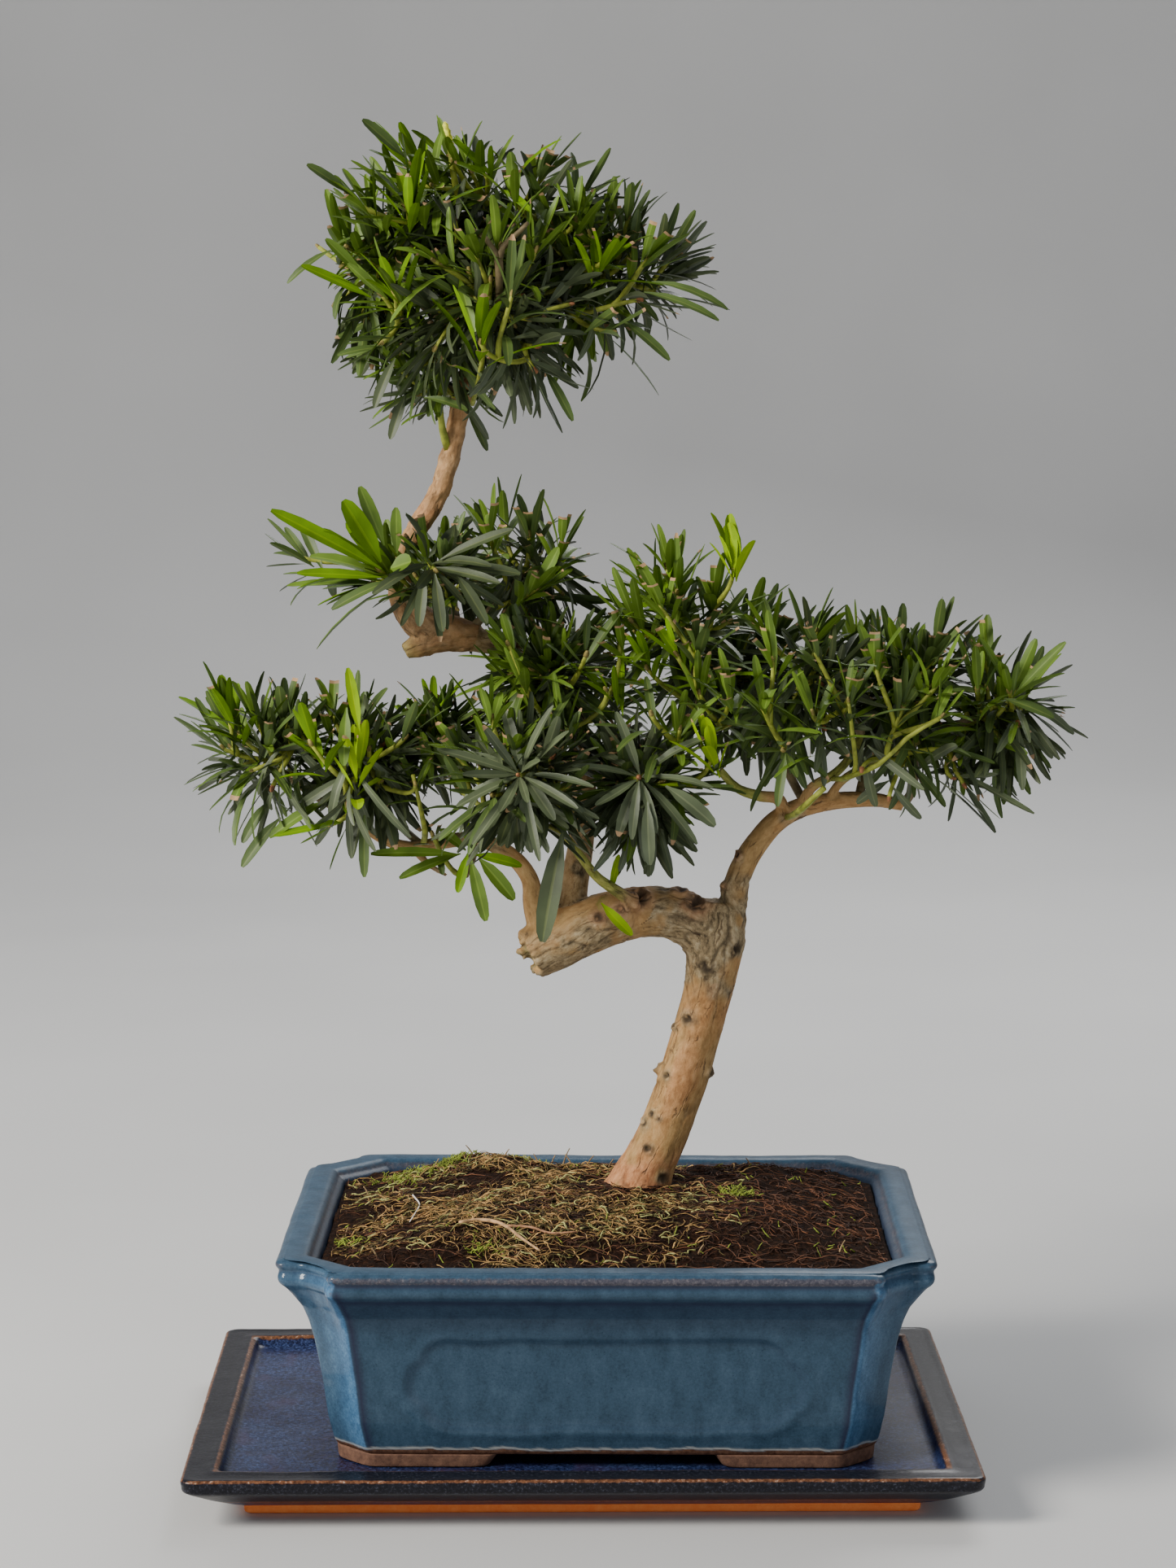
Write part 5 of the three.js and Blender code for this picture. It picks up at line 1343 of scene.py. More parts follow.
# Shoots that stand out, by the mass that bears them: the foot of the leaves, which way the shoot
# points, how it is dressed and its colour.
SHOOTS = {
    "top_left": [
        ((-65, 0, 490), (1, 0, 19), "young", "bright"), ((-67, 2, 490), (-16, 2, 20), "few", "mid"),
        ((-71, -12, 457), (-9, -3, 20), "upright", "bright"),
        ((-76, -8, 456), (-20, -2, 14), "upright", "mid"), ((-84, -4, 490), (-12, 0, 14), "upright", "mid"),
        ((-76, 0, 438), (-17, 0, -5), "spread", "dark"),
    ],
    "top_low": [
        ((-63, 3, 428), (-12, -4, -12), "hanging", "dark"), ((-54, 20, 424), (-3, -3, 20), "few", "mid"),
    ],
    "top_peak": [
        ((-42, 19, 503), (-9, 0, 18), "upright", "mid"), ((-26, 0, 494), (-5, 0, 26), "clipped", "mid"),
        ((-18, 36, 500), (2, 0, 20), "clipped", "mid"), ((-2, 5, 484), (3, 0, 22), "upright", "mid"),
        ((-48, 0, 484), (-7, 0, 28), "upright", "grey"),
    ],
    "top_right": [
        ((26, 12, 470), (13, 0, 16), "clipped", "mid"), ((22, 3, 454), (26, -4, 2), "hanging", "grey"),
        ((10, -6, 470), (9, -2, 18), "clipped", "bright"), ((12, -12, 442), (17, -3, 2), "hanging", "dark"),
    ],
    "top_front": [
        ((-18, -18, 428), (12, -5, -12), "hanging", "grey"),
        ((-38, -30, 438), (1, -6, 14), "few", "bright"), ((-26, -30, 456), (3, -8, 15), "upright", "dark"),
    ],
    "middle_left": [
        ((-78, 5, 350), (-24, -3, 15), "sweep", "bright"), ((-75, 10, 351), (-10, -2, 27), "young", "mid"),
        ((-80, 2, 345), (-26, -2, 1), "sweep", "mid"),
    ],
    "middle_front": [
        ((-56, -8, 351), (8, -14, -6), "rosette", "deep"), ((-61, 0, 358), (-4, -2, 13), "clipped", "mid"),
    ],
    "middle_right": [
        ((-17, 15, 342), (11, -4, 11), "young", "mid"), ((-36, 22, 364), (-2, -2, 18), "clipped", "mid"),
        ((-20, 28, 362), (-3, -3, 19), "clipped", "dark"), ((-7, 28, 358), (4, 0, 15), "clipped", "mid"),
    ],
    "left_outer": [
        ((-138, 10, 293), (-7, 0, 17), "young", "bright"),
        ((-128, 4, 272), (-12, -3, -3), "hanging", "dark"),
        ((-120, 0, 266), (-5, -4, -14), "hanging", "grey"), ((-116, 8, 294), (0, 0, 18), "clipped", "dark"),
    ],
    "left_inner": [
        ((-86, -14, 276), (2, -4, 28), "young", "young"),
        ((-104, -12, 284), (-6, -3, 14), "young", "bright"), ((-97, 8, 294), (0, 0, 18), "clipped", "mid"),
        ((-90, -14, 262), (-2, -5, -14), "hanging", "grey"),
        ((-97, -8, 252), (-22, 0, -2), "small", "bright"), ((-109, 2, 288), (3, -3, 16), "upright", "dark"),
        ((-68, -8, 286), (8, -4, 14), "upright", "dark"), ((-64, -11, 268), (-3, -2, 12), "small", "mid"),
    ],
    "left_shoot": [
        ((-58, 5, 246), (-8, -2, 30), "small", "dark"),
    ],
    "centre_front": [
        ((-24, -36, 275), (-5, -16, 3), "rosette", "grey"),
        ((-34, -28, 296), (2, -3, 17), "upright", "mid"),
    ],
    "centre_right": [
        ((22, -28, 273), (-2, -16, 3), "rosette", "grey"), ((50, -18, 280), (-9, -7, 24), "young", "young"),
        ((38, -13, 290), (2, -9, 16), "upright", "mid"), ((27, -18, 296), (-3, -8, 16), "upright", "dark"),
        ((44, -12, 268), (8, -10, 3), "spread", "dark"), ((40, -4, 283), (7, -5, 14), "spread", "mid"),
    ],
    "centre_top": [
        ((-7, -8, 290), (-5, -4, 22), "upright", "mid"),
        ((10, -6, 304), (-14, -5, 24), "upright", "bright"),
        ((-22, -8, 306), (-4, -8, 16), "upright", "mid"), ((-28, -6, 322), (-6, -6, 14), "upright", "mid"),
        ((2, -10, 318), (4, -8, 14), "spread", "dark"), ((15, 0, 322), (-5, -2, 13), "clipped", "mid"),
    ],
    "right_inner": [
        ((59, -6, 351), (-2, -2, 24), "fan", "young"), ((57, -12, 302), (-5, -5, 19), "clipped", "mid"),
        ((46, -6, 303), (-1, -8, 16), "upright", "mid"), ((26, 0, 312), (-6, -8, 14), "upright", "bright"),
        ((58, 2, 290), (2, -10, 4), "spread", "dark"), ((45, -10, 322), (0, -6, 16), "clipped", "dark"),
        ((20, 4, 330), (-10, -4, 14), "upright", "mid"), ((37, -8, 318), (-9, -5, 14), "upright", "bright"),
        ((30, -6, 338), (-8, -2, 16), "clipped", "mid"),
    ],
    "right_middle": [
        ((89, -16, 296), (-3, -5, 22), "upright", "mid"), ((90, -8, 320), (-5, -2, 14), "clipped", "dark"),
        ((74, -12, 317), (-2, -4, 13), "clipped", "mid"), ((70, -14, 298), (-4, -8, 12), "upright", "mid"),
        ((78, -16, 282), (-2, -12, 2), "spread", "dark"), ((104, -14, 303), (2, -8, 14), "clipped", "mid"),
        ((103, -16, 301), (-1, -5, 16), "upright", "dark"),
    ],
    "right_outer": [
        ((114, 0, 315), (-2, -2, 19), "clipped", "mid"), ((125, -4, 297), (6, -3, 19), "upright", "dark"),
        ((109, -8, 274), (-2, -6, -10), "hanging", "grey"), ((138, -6, 306), (6, -6, 14), "clipped", "mid"),
        ((142, 0, 280), (12, -8, -4), "hanging", "dark"), ((130, 2, 270), (4, -6, -10), "hanging", "dark"),
        ((139, -16, 295), (8, -4, 10), "upright", "mid"), ((120, -4, 262), (-2, -6, -12), "small", "grey"),
    ],
    "right_tip": [
        ((150, 4, 266), (8, -6, -12), "hanging", "grey"), ((172, 14, 302), (16, 0, 18), "young", "mid"),
        ((155, 5, 303), (-1, -2, 21), "upright", "mid"), ((146, 8, 268), (26, -5, -2), "hanging", "grey"),
    ],
    "right_far_back": [
        ((132, 50, 268), (20, 0, -4), "hanging", "deep"),
    ],
}

# Single leaves that stand out, by kind: root, tip, width and bend.
SINGLES = {
    "mid": [
        ((-48, 1, 239), (-82, -4, 240), 4.6, 0.3), ((-47, 3, 239), (-71, -2, 230), 4.6, 0.4),
        ((-43, -3, 238), (-37, -8, 214), 5.4, 0.3), ((-40, -1, 238), (-26, -6, 222), 6, 0.4),
        ((-45, 5, 240), (-55, 0, 249), 4.4, 0.2), ((-99, -3, 261), (-121, -8, 247), 5, 0.4),
        ((-66, 7, 268), (-76, 2, 285), 4.6, 0.2), ((-58, 9, 266), (-62, 4, 287), 4.4, 0.2),
        ((-83, -6, 463), (-97, -10, 477), 4.6, 0.15), ((-76, -1, 360), (-85, -6, 383), 5.6, 0.2),
        ((-71, -1, 357), (-71, -6, 375), 4.6, 0.2), ((-73, -13, 352), (-65, -18, 355), 8.5, 0.2),
        ((-90, -19, 299), (-91, -24, 277), 5, 0.3), ((170, 8, 301), (189, 3, 322), 4.2, 0.2),
    ],
    "bright": [
        ((-42, 1, 239), (-23, -4, 235), 4.6, 0.4), ((-44, -1, 240), (-48, -6, 225), 4.2, 0.2),
        ((-43, 5, 240), (-44, 0, 252), 4.2, 0.2), ((-80, -9, 455), (-106, -14, 467), 4.6, 0.15),
        ((-95, -6, 252), (-119, -10, 248), 3.4, 0.2), ((-77, -3, 351), (-119, -8, 374), 6.4, 0.12),
        ((-77, -6, 348), (-109, -11, 350), 4.8, 0.2), ((-77, -7, 354), (-91, -12, 378), 8.4, 0.15),
    ],
    "dark": [
        ((-84, -7, 257), (-84, -12, 232), 4.2, 0.3), ((-117, -1, 254), (-132, -6, 235), 5, 0.5),
        ((-122, 3, 260), (-132, -2, 244), 4.4, 0.4), ((-67, 1, 508), (-83, -4, 522), 5, 0.2),
        ((-88, -3, 494), (-104, -8, 505), 4.6, 0.3), ((-95, -5, 473), (-112, -10, 460), 3, 0.7),
        ((-76, -5, 436), (-93, -10, 433), 3.4, 0.5), ((27, -5, 461), (57, -10, 450), 3.4, 0.9),
        ((24, -9, 457), (53, -14, 446), 3.6, 0.7), ((16, -9, 446), (34, -14, 431), 4, 0.6),
        ((-14, -11, 428), (-3, -16, 408), 3.6, 0.6), ((-60, -7, 417), (-43, -12, 412), 3.6, 0.8),
        ((-73, -7, 347), (-96, -12, 336), 4.6, 0.5), ((165, 1, 300), (184, -4, 293), 4.6, 0.5),
    ],
    "deep": [
        ((-67, -3, 418), (-73, -8, 401), 4.2, 0.4), ((-71, -5, 432), (-79, -10, 413), 4.2, 0.5),
        ((-60, -13, 349), (-62, -18, 330), 4.6, 0.4), ((-56, -14, 350), (-53, -19, 328), 4.6, 0.4),
        ((-48, -13, 350), (-36, -18, 331), 4.8, 0.4), ((-54, -9, 355), (-26, -14, 367), 4.6, 0.3),
        ((-48, -11, 352), (-23, -16, 350), 4.6, 0.5), ((-7, -23, 251), (-15, -28, 209), 8.6, 0.35),
    ],
    "young": [
        ((8, -1, 220), (20, -6, 208), 4.4, -0.3), ((12, 5, 224), (15, 0, 239), 3.2, 0.1),
        ((-85, -21, 290), (-89, -26, 315), 4.4, 0.1),
    ],
    "grey": [
        ((25, -31, 264), (26, -36, 240), 5.2, 0.5), ((32, -31, 270), (51, -36, 255), 6.2, 0.5),
    ],
}


def curve_between(start, end, start_way, end_way, steps):
    """A smooth path that leaves and arrives along the given ways."""
    reach = np.linalg.norm(end - start) * 0.34
    a, b, c, d = start, start + start_way * reach, end - end_way * reach, end
    t = np.linspace(0, 1, steps)[:, None]
    return a * (1 - t) ** 3 + 3 * b * t * (1 - t) ** 2 + 3 * c * t * t * (1 - t) + d * t**3


def square_to(direction, angle):
    """A unit vector square to a direction, turned about it."""
    helper = UP if abs(direction[2]) < 0.8 else np.array([1.0, 0, 0])
    first = unit(np.cross(helper, direction))
    return first * math.cos(angle) + np.cross(direction, first) * math.sin(angle)


def outward_in(mass, point):
    return float(np.linalg.norm((point - np.array(mass[2])) / np.array(mass[3])))


def in_own_space(name, point):
    own = outward_in(MASSES[name], point)
    others = (outward_in(mass, point) for other, mass in MASSES.items() if other != name)
    return own <= 1 and own < min(others) * SPACE_SHARE


def in_clearing(point):
    return any(
        x_low < point[0] < x_high and z_low < point[2] < z_high and point[1] < back
        for (x_low, x_high), (z_low, z_high), back in CLEARINGS
    )


class Foliage:
    """Collects every twig, bud and leaf of the tree."""

    def __init__(self, samples):
        self.leaves = {kind: [] for kind in LEAF_KINDS}
        self.twigs = []
        self.green_twigs = []
        self.buds = {name: [] for name in BUD_COLOURS}
        self.samples = samples
        self.tree = tree_of(samples["point"])

    def clear_of_limbs(self, point, room):
        _, number, away = self.tree.find(point)
        return away > self.samples["radius"][number] + room

    def leaf(self, mass, kind, root, along, face, length, width, curl, cut, tint, stray):
        """One leaf, shortened until it keeps to its mass's space and clear of the limbs."""
        placed_by_hand = stray >= NAMED_STRAY
        for shorter in LEAF_CUTBACKS:
            size = length * shorter
            end = root + unit(along - face * curl * 0.5) * size * cut
            if outward_in(mass, end) > stray:
                continue
            if not placed_by_hand and (in_clearing(end) or in_clearing(lerp(root, end, 0.6))):
                continue
            middle = lerp(root, end, 0.55)
            if self.clear_of_limbs(end, LEAF_GAP) and self.clear_of_limbs(middle, LEAF_GAP):
                self.leaves[kind].append((*root, *along, *face, size, width, curl, cut, tint))
                return

    def dress(self, mass, tip, aim, style, kind, rng, scale, stray):
        """Leaves in a spiral along the end of a shoot: the lowest spread, the last stand up."""
        style = dict(zip(DRESS_TERMS, DRESS[style]))
        start = rng.random() * TURN
        count = max(3, round(style["leaves"] * rng.uniform(0.85, 1.15)))
        for number in range(count):
            share = number / (count - 1)
            out = square_to(aim, start + number * GOLDEN_ANGLE)
            tilt = lerp(style["low"], style["high"], share**0.9) + rng.normal(0, 0.14)
            along = aim * math.cos(tilt) + out * math.sin(tilt)
            along = unit(along - UP * style["hang"] * (1 - 0.6 * share) * rng.uniform(0.1, 0.9))
            light = unit(aim * 0.7 + UP * (0.35 + 0.5 * (1 - share)))
            face = unit(light - along * (light @ along))
            root = tip - aim * style["zone"] * (1 - share) ** 1.2 + out * 0.8
            size = scale * style["length"] * rng.uniform(0.68, 1.2) * lerp(1.0, 0.74, share**3)
            width = scale**0.5 * style["width"] * rng.uniform(0.78, 1.22)
            curl = lerp(0.55, 0.02, share) + rng.normal(0, 0.22) + 0.5 * style["hang"] * (1 - share)
            cut = rng.uniform(0.52, 0.82) if rng.random() < style["cut"] * (0.4 + share) else 1.0
            reach = stray if rng.random() < 0.8 else stray + 0.14
            self.leaf(mass, kind, root, along, face, size, width, curl, cut, rng.random(), reach)
        self.buds["red_buds" if kind == "grey" else "buds"].append((tip, aim, rng.uniform(0.8, 1.2)))

    def single(self, kind, root, tip, width, bend):
        """A leaf from its root to its tip, with its face to the front and up."""
        chord = np.array(tip, float) - np.array(root, float)
        way = unit(chord)
        face = unit(FRONT_LIGHT - way * (way @ FRONT_LIGHT))
        along = way * math.cos(bend / 2) + face * math.sin(bend / 2)
        face = unit(face - along * (face @ along))
        self.leaves[kind].append((*root, *along, *face, np.linalg.norm(chord), width, bend, 1.0, 0.5))


def leaf_half_width(share):
    root = 0.14 + 0.86 * smoothstep(share, 0.0, 0.42) ** 0.85
    tip = np.sqrt(np.clip(1 - (np.clip(share - 0.56, 0, 1) / 0.452) ** 2.6, 0, 1))
    return root * tip


def leaf_mesh(name, rows, materials):
    """All the leaves of one kind: keeled blades with a paler rib, whole or cut short."""
    data = np.array(rows)
    root, along, face = data[:, 0:3], data[:, 3:6], data[:, 6:9]
    length, width, curl, cut = (data[:, column][:, None] for column in (9, 10, 11, 12))
    across = np.cross(along, face)
    share = LEAF_ROWS[None] * cut
    half = leaf_half_width(share) * width / 2
    bend = np.where(np.abs(curl) < 1e-3, 1e-3, curl)
    forward = np.sin(bend * share) / bend * length
    down = (1 - np.cos(bend * share)) / bend * length
    middle = root[:, None] + forward[..., None] * along[:, None] - down[..., None] * face[:, None]
    angle = (bend * share)[..., None]
    normal = face[:, None] * np.cos(angle) + along[:, None] * np.sin(angle)
    column = LEAF_COLUMNS[None, None, :, None]
    keel = 0.22 * np.abs(column) - np.where(np.abs(column) < 0.2, 0.1, 0.0)
    sideways = half[..., None, None] * column * across[:, None, None]
    verts = middle[:, :, None] + sideways + half[..., None, None] * keel * normal[:, :, None]
    count, steps, columns = verts.shape[:3]
    index = np.arange(count * steps * columns).reshape(count, steps, columns)
    corners = [index[:, :-1, :-1], index[:, :-1, 1:], index[:, 1:, 1:], index[:, 1:, :-1]]
    quads = np.stack(corners, -1)
    pick = np.zeros(quads.shape[:3], int)
    pick[:, :, columns // 2 - 1] = 1
    worn = (cut[:, 0] < 1) | (data[:, 13] < 0.06)
    pick[worn, -1, :] = 2
    return make_mesh(name, verts.reshape(-1, 3), [quads.reshape(-1, 4)], materials, pick.ravel())


def kind_of(name, outward, layer, rng):
    """The colour of a spray, by how much light its place gets."""
    score = 0.4 * outward[2] - 0.32 * outward[0] - 0.16 * outward[1] + rng.normal(0, 0.22)
    if layer == "inner" or name.startswith("left"):
        score -= 0.35 if layer == "inner" else 0.2
    if name.startswith(("centre_front", "centre_right")) and rng.random() < 0.5:
        return "grey"
    for kind, least in (("bright", 0.72), ("mid", 0.22), ("dark", -0.2)):
        if score > least:
            return kind
    return "grey" if rng.random() < 0.4 else "deep"


def style_of(outward, layer, rng):
    """How a shoot is dressed, by where it stands in its mass."""
    if layer == "inner":
        return "small" if rng.random() < 0.5 else "spread"
    if outward[2] > 0.3:
        return "clipped" if rng.random() < 0.28 else "upright"
    if outward[2] > -0.35:
        return "upright" if rng.random() < 0.4 else "spread"
    return "hanging"


class Twigs:
    """The twigs of one mass so far, which the next shoot branches from."""

    def __init__(self, stem):
        self.points = stem[3:]
        self.ways = unit(np.gradient(stem, axis=0))[3:]

    def join(self, tip, aim):
        """A twig to the tip, from the place on the others that it leaves most smoothly."""
        gap = tip - 10 * aim - self.points
        away = np.linalg.norm(gap, axis=1) + 1e-6
        onward = np.einsum("ij,ij->i", gap, self.ways) / away
        behind = gap @ aim / away
        cost = away * (1.5 - 0.3 * onward - 0.5 * behind) + 40 * (away < SHORTEST_TWIG)
        best = int(np.argmin(cost))
        straight = gap[best] / away[best]
        leave = unit(self.ways[best] * 0.5 + straight)
        arrive = unit(aim + 0.4 * straight)
        twig = curve_between(self.points[best], tip, leave, arrive, CURVE_STEPS)
        self.points = np.vstack([self.points, twig[2:8]])
        self.ways = np.vstack([self.ways, unit(np.gradient(twig, axis=0))[2:8]])
        return twig


def generated_tips(name, rng, taken):
    """Tips spread evenly over a mass's space by the CAD source's rule, in two layers."""
    centre, half = np.array(MASSES[name][2], float), np.array(MASSES[name][3], float)
    size = float(np.cbrt(half.prod()))
    for layer, setting in LAYERS.items():
        count = max(4, round(2 * TURN * size**2 / setting["spacing"] ** 2))
        turn = rng.random() * TURN
        for number in range(count):
            height = 1 - (2 * number + 1) / count
            across = math.sqrt(1 - height * height)
            angle = turn + number * GOLDEN_ANGLE
            outward = np.array([across * math.cos(angle), across * math.sin(angle), height])
            edge = 1 / np.linalg.norm(outward / half)
            reach = max(0.3, (edge - LEAF_ROOM) / edge) * rng.uniform(setting["low"], setting["high"])
            tip = centre + outward * half * reach + UP * 3 * (1 - abs(height)) + rng.normal(0, 1.5, 3)
            crowded = any(np.linalg.norm(tip - other) < TIP_SPACING for other in taken)
            open_space = noise(tip[None], OPENING["size"], 95)[0] > OPENING["most"]
            kept = (1 - BARE_SHARE) * FILL.get(name, 1)
            if not crowded and not open_space and rng.random() < kept and in_own_space(name, tip):
                aim = unit(outward * 0.8 + UP * (0.45 if height > -0.4 else 0.05) + rng.normal(0, 0.22, 3))
                kind = kind_of(name, outward, layer, rng)
                yield tip, aim, style_of(outward, layer, rng), kind, STRAY


def grow_mass(foliage, name, seed):
    """One mass: its stem, then shoots that branch from it and from each other, nearest first."""
    rng = np.random.default_rng(seed)
    mass = MASSES[name]
    limb, share, centre, half = mass
    line, _ = even_limb(LIMBS[limb], 1.0)
    place = min(len(line) - 1, round(share * (len(line) - 1)))
    stem_root, limb_way = line[place], unit(np.gradient(line, axis=0))[place]
    stem_end = lerp(stem_root, np.array(centre, float), STEM_REACH)
    stem_way = unit(stem_end - stem_root)
    leave = unit(stem_way + 0.8 * limb_way * (share > 0.95))
    stem = curve_between(stem_root, stem_end, leave, unit(stem_way + 0.3 * UP), CURVE_STEPS)
    foliage.twigs.append((stem, *STEM_RADII))
    shoots = [
        (np.array(tip, float), unit(np.array(aim, float)), style, kind, NAMED_STRAY)
        for tip, aim, style, kind in SHOOTS.get(name, [])
    ]
    shoots += list(generated_tips(name, rng, [tip for tip, *_ in shoots]))
    shoots.sort(key=lambda shoot: np.linalg.norm(shoot[0] - stem_root))
    twigs = Twigs(stem)
    scale = min(1.0, float(np.cbrt(np.prod(half))) / FULL_LEAF_MASS)
    for tip, aim, style, kind, stray in shoots:
        if foliage.clear_of_limbs(tip, TIP_GAP):
            foliage.green_twigs.append((twigs.join(tip, aim), *TWIG_RADII))
            foliage.dress(mass, tip, aim, style, kind, rng, scale, stray)


def build_foliage(samples):
    foliage = Foliage(samples)
    for number, name in enumerate(MASSES):
        grow_mass(foliage, name, FOLIAGE_SEED + number)
    for kind, rows in SINGLES.items():
        for row in rows:
            foliage.single(kind, *row)
    for knots in BARE_FORKS:
        line, radii = even_limb(knots, 1.0)
        foliage.twigs.append((line, radii[0], radii[-1]))
    for knots in GREEN_STEMS:
        line, radii = even_limb(knots, 1.0)
        foliage.green_twigs.append((line, radii[0], radii[-1]))
    edge = plain_look("cut_leaf_edge", CUT_EDGE, 0.3, 0.7)
    for number, (kind, (blade, rib, rough, sheen)) in enumerate(LEAF_KINDS.items()):
        looks = [
            plain_look(f"leaf_{kind}", blade, 0.2, rough, 14, sheen),
            plain_look(f"rib_{kind}", rib, 0.15, rough + 0.05, 14, sheen),
            edge,
        ]
        piece = leaf_mesh(f"leaves_{kind}", foliage.leaves[kind], looks)
        nodes = [f"foliage_{name}" for name in MASSES] if number == 0 else []
        finish_piece(piece, "leaves", nodes)
    for name, rows, look, slot, sides in (
        ("twigs_woody", foliage.twigs, ("twig_bark", (0.2, 0.15, 0.07)), "bark", 8),
        ("twigs_green", foliage.green_twigs, ("twig_green", (0.27, 0.3, 0.035)), "green_bark", 6),
    ):
        paths = np.array([even_path(path, TWIG_STEPS) for path, _, _ in rows])
        radii = np.array([np.linspace(start, end, TWIG_STEPS) for _, start, end in rows])
        radii *= 1 + 0.16 * noise(paths, 2.5, 90)
        tube_piece(name, paths, radii, sides, plain_look(*look, 0.3, 0.6, 4), slot)
    build_buds(foliage)


def build_buds(foliage):
    """A small scaly bud at the end of each shoot, and one long bright one at the top."""
    tip, aim, size = LONG_BUD
    foliage.buds["bright_buds"].append((np.array(tip, float), unit(np.array(aim, float)), size))
    for name, rows in foliage.buds.items():
        reach = 0.75 if name == "bright_buds" else 0.32
        steps = np.arange(len(BUD_PROFILE)) * reach - 0.5
        paths = [[tip + aim * size * step for step in steps] for tip, aim, size in rows]
        radii = np.array([BUD_PROFILE * size for _, _, size in rows])
        tube_piece(name, paths, radii, 8, plain_look(name, BUD_COLOURS[name], 0.4, 0.6, 2), "green_bark")


# ---------------------------------------------------------------- moss and roots on the soil

# Strands that lie on the soil: colour, count, length, radius, how much they wander and rise.
STRANDS = {
    "dry_moss": ((0.4, 0.24, 0.085), 1200, 12, 0.26, 0.42, 1.6),
    "pale_moss": ((0.36, 0.35, 0.12), 330, 10, 0.36, 0.45, 1.6),
    "olive_moss": ((0.1, 0.07, 0.02), 1400, 9, 0.25, 0.5, 1.2),
    "brown_litter": ((0.055, 0.022, 0.01), 1800, 9, 0.24, 0.4, 1.2),
    "root_hairs": ((0.165, 0.064, 0.028), 430, 19, 0.19, 0.28, 1.4),
    "green_moss": ((0.24, 0.3, 0.035), 650, 3.6, 0.3, 0.3, 2.6),
}
STRAND_TERMS = ("colour", "count", "length", "radius", "wander", "lift")
# The field that strands are strewn over, inside the pot's chamfered opening and off the trunk.
STREWN = {
    "tries": 60000, "low": (-95, -76), "high": (116, 85), "middle": (10, 4), "half": (106, 81),
    "chamfer": (104, 79), "cut": 1.78, "off_trunk": 12,
}
MOSS_SEED = 77
STRAND_STEPS = 8
STALK_STEPS = 8
MOSS_TUFTS = [(-70, 60, 9), (-52, 62, 8), (-92, -34, 5), (61, 9, 6), (-20, 66, 6), (-38, -58, 5)]
# A forked root and a pale root hair that stand out, as places and a radius.
STRAY_ROOTS = {
    "old_root": ((0.5, 0.3, 0.14), [(-47, -42), (-39, -38), (-31, -43), (-23, -53), (-16, -62)], 0.9),
    "old_root_fork": ((0.4, 0.2, 0.1), [(-29, -45), (-20, -45), (-12, -49), (-2, -50)], 0.6),
    "pale_hair": ((0.8, 0.74, 0.66), [(-67, 14), (-64, 3), (-65, -9), (-67, -20)], 0.35),
}

# Stalks that stand up from the moss: place, height and lean.
STALKS = [
    (-7, 63, 9, 3), (-3, 60, 6, -3), (-12, 64, 6, 2), (3, 61, 5, 3), (-17, 60, 5, -2), (-44, 66, 5, -3),
    (-60, 64, 5, 2), (-31, 66, 4, 2), (12, 55, 4, 2), (-86, 40, 4, -2), (-25, -66, 4, 2), (44, -62, 4, 2),
    (-92, -20, 4, 1), (70, 50, 4, -2), (98, -58, 5, 2), (-78, -60, 4, -2),
]


def strand_share(name, x, y):
    """How likely a strand of a kind is at each place."""
    flat = on_ground(x, y)
    thatch = bell(x, -22, 68) * bell(y, -5, 95) * (0.62 + 1.1 * noise(flat, 16, 78, 2)) - 0.12
    if name == "brown_litter":
        return 0.5 + 0.5 * noise(flat, 18, 81, 2)
    if name == "root_hairs":
        return 0.3 + 0.35 * smoothstep(x, 20, 80) + 0.25 * noise(flat, 26, 79, 2)
    if name == "green_moss":
        tufts = [bell(x, across, size) * bell(y, back, size) for across, back, size in MOSS_TUFTS]
        return sum(tufts) + 0.006
    if name == "pale_moss":
        return thatch + 0.8 * bell(x, -72, 20) * bell(y, 45, 22)
    return thatch


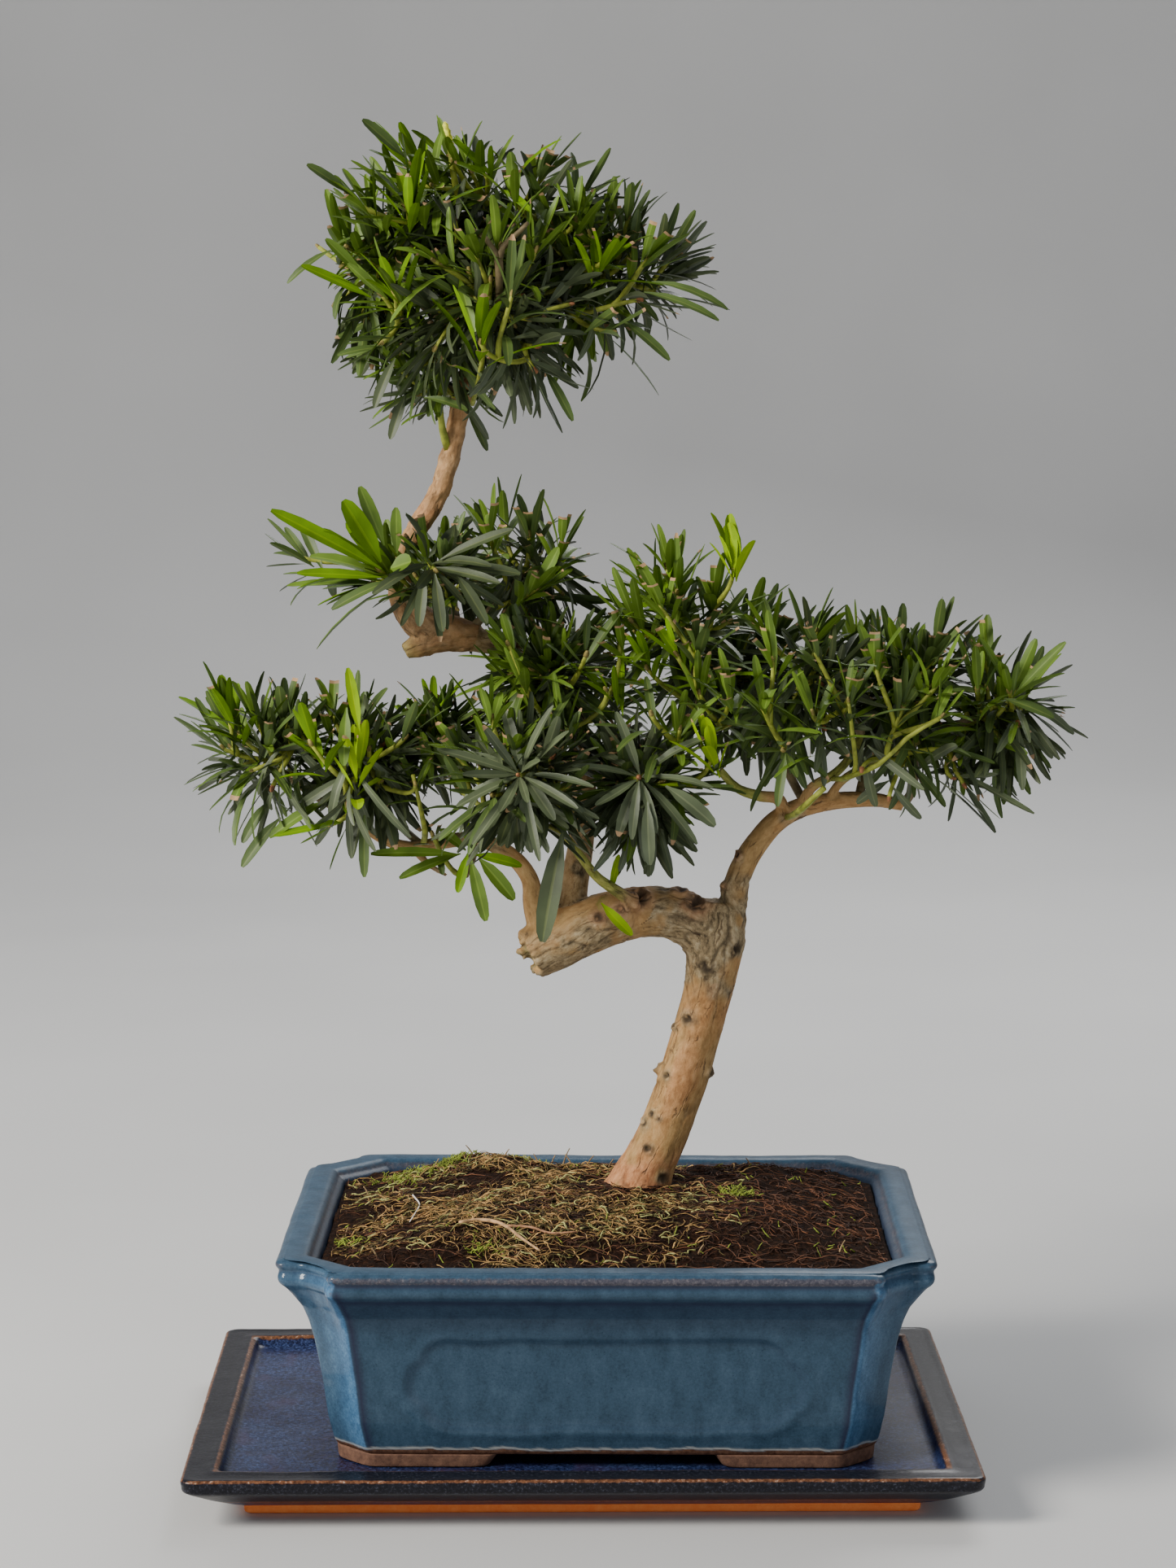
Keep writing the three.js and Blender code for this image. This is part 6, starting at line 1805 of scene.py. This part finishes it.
def lay_strands(name, setting, rng):
    """Paths and radii of one kind's strands, each of which curls where it has fallen."""
    low, high = STREWN["low"], STREWN["high"]
    x = rng.uniform(low[0], high[0], STREWN["tries"])
    y = rng.uniform(low[1], high[1], STREWN["tries"])
    from_x, from_y = np.abs(x - STREWN["middle"][0]), np.abs(y - STREWN["middle"][1])
    inside = np.maximum(from_x / STREWN["half"][0], from_y / STREWN["half"][1]) < 1
    inside &= from_x / STREWN["chamfer"][0] + from_y / STREWN["chamfer"][1] < STREWN["cut"]
    inside &= np.hypot(x - SEAT[0], y - SEAT[1]) > STREWN["off_trunk"]
    keep = np.flatnonzero((rng.random(len(x)) < strand_share(name, x, y)) & inside)
    keep = keep[: setting["count"]]
    x, y, steps = x[keep], y[keep], STRAND_STEPS
    half_turns = math.pi * rng.integers(0, 2, len(x))
    way = rng.normal(0, 0.8, len(x)) + half_turns
    turn = way[:, None] + rng.normal(0, setting["wander"], (len(x), steps)).cumsum(axis=1)
    size = setting["length"] * rng.uniform(0.45, 1.35, len(x))[:, None] / steps
    x = np.clip(x[:, None] + np.cumsum(np.cos(turn) * size, axis=1), low[0] - 0.5, high[0])
    y = np.clip(y[:, None] + np.cumsum(np.sin(turn) * size, axis=1), low[1] - 1, high[1] + 0.5)
    arch = np.sin(np.linspace(0, math.pi, steps)) * rng.uniform(0, 1, len(x))[:, None] ** 1.6
    rise = setting["lift"] * arch + rng.uniform(0, 0.6, len(x))[:, None]
    if name == "green_moss":
        rise = np.linspace(0, 1, steps) * rng.uniform(0.4, 1, len(x))[:, None] * setting["lift"]
    paths = np.stack([x, y, soil_surface(x, y) + rise], -1)
    beads = rng.uniform(0.65, 1.4, (len(x), steps)) if "moss" in name else 1
    thickness = setting["radius"] * rng.uniform(0.7, 1.3, len(x))[:, None]
    return paths, thickness * np.linspace(1, 0.5, steps) * beads


def build_moss():
    """Dry moss, dead root hairs and green tufts that lie over the soil."""
    rng = np.random.default_rng(MOSS_SEED)
    for name, row in STRANDS.items():
        setting = dict(zip(STRAND_TERMS, row))
        paths, radii = lay_strands(name, setting, rng)
        tube_piece(name, paths, radii, 3, plain_look(name, setting["colour"], 0.5, 0.85, 4), "soil")
    paths = []
    share = np.linspace(0, 1, STALK_STEPS)
    for x, y, height, lean in STALKS:
        foot = soil_surface(np.array([x]), np.array([y]))[0] - 0.5
        paths.append(np.stack([x + lean * share**1.6, y + 0 * share, foot + height * share], -1))
    radii = np.tile(np.linspace(0.45, 0.2, STALK_STEPS), (len(STALKS), 1))
    stalk = plain_look("dry_stalks", (0.3, 0.2, 0.1), 0.4, 0.8, 3)
    tube_piece("dry_stalks", paths, radii, 5, stalk, "soil")
    for name, (colour, places, radius) in STRAY_ROOTS.items():
        x, y = np.array(places, float).T
        path = np.stack([x, y, soil_surface(x, y) + 1.4], -1)
        line, _ = even_limb(np.column_stack([path, np.full(len(path), radius)]), 1.5)
        radii = radius * np.linspace(1, 0.5, len(line)) * (1 + 0.15 * noise(line, 2, 95))
        tube_piece(name, line[None], radii[None], 8, plain_look(name, colour, 0.35, 0.8, 3), "soil")


# ---------------------------------------------------------------- studio


def build_studio():
    data = bpy.data.cameras.new("camera")
    data.lens, data.sensor_width = CAMERA["lens"], SENSOR
    camera = bpy.data.objects.new("camera", data)
    camera.location = [value * MM for value in CAMERA["place"]]
    camera.rotation_euler = (math.pi / 2 - CAMERA["pitch"], 0, CAMERA["yaw"])
    bpy.context.scene.collection.objects.link(camera)
    bpy.context.scene.camera = camera
    for name, light in LIGHTS.items():
        lamp = bpy.data.lights.new(name, "AREA")
        lamp.energy, lamp.size, lamp.color = light["watts"], light["size"] * MM, light["tint"]
        obj = bpy.data.objects.new(name, lamp)
        place = np.array(light["place"], float)
        obj.location = place * MM
        away = place - np.array(LIGHT_AIM)
        tilt = math.atan2(math.hypot(away[0], away[1]), away[2])
        obj.rotation_euler = (tilt, 0, math.atan2(away[0], -away[1]))
        bpy.context.scene.collection.objects.link(obj)
    world = bpy.data.worlds.new("studio")
    world.use_nodes = True
    background = world.node_tree.nodes["Background"]
    background.inputs["Color"].default_value = (*SKY, 1)
    background.inputs["Strength"].default_value = AMBIENT
    bpy.context.scene.world = world
    rows = smooth_profile(FLOOR_PROFILE, 60, 220)
    verts = [[(x, y, z) for x in (-FLOOR_HALF_WIDTH, FLOOR_HALF_WIDTH)] for y, z in rows]
    look = Look("pale_floor", Roughness=0.9)
    look.colour(look.ramp(look.noise(300, 2), [(0.3, (0.6, 0.6, 0.59)), (0.7, (0.64, 0.64, 0.63))]))
    faces = [grid_faces(len(rows), 2, 0, False)]
    make_mesh("floor", np.array(verts).reshape(-1, 3), faces, [look.material])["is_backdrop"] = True


build_studio()
build_tray()
build_pot()
build_pot_feet()
build_soil()
LIMB_SAMPLES = limb_samples()
build_bark(LIMB_SAMPLES)
build_foliage(LIMB_SAMPLES)
build_moss()

boxes = {"cad": CAD_BOX, "visual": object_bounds()}
{key: [list(corner) for corner in box] for key, box in boxes.items()}
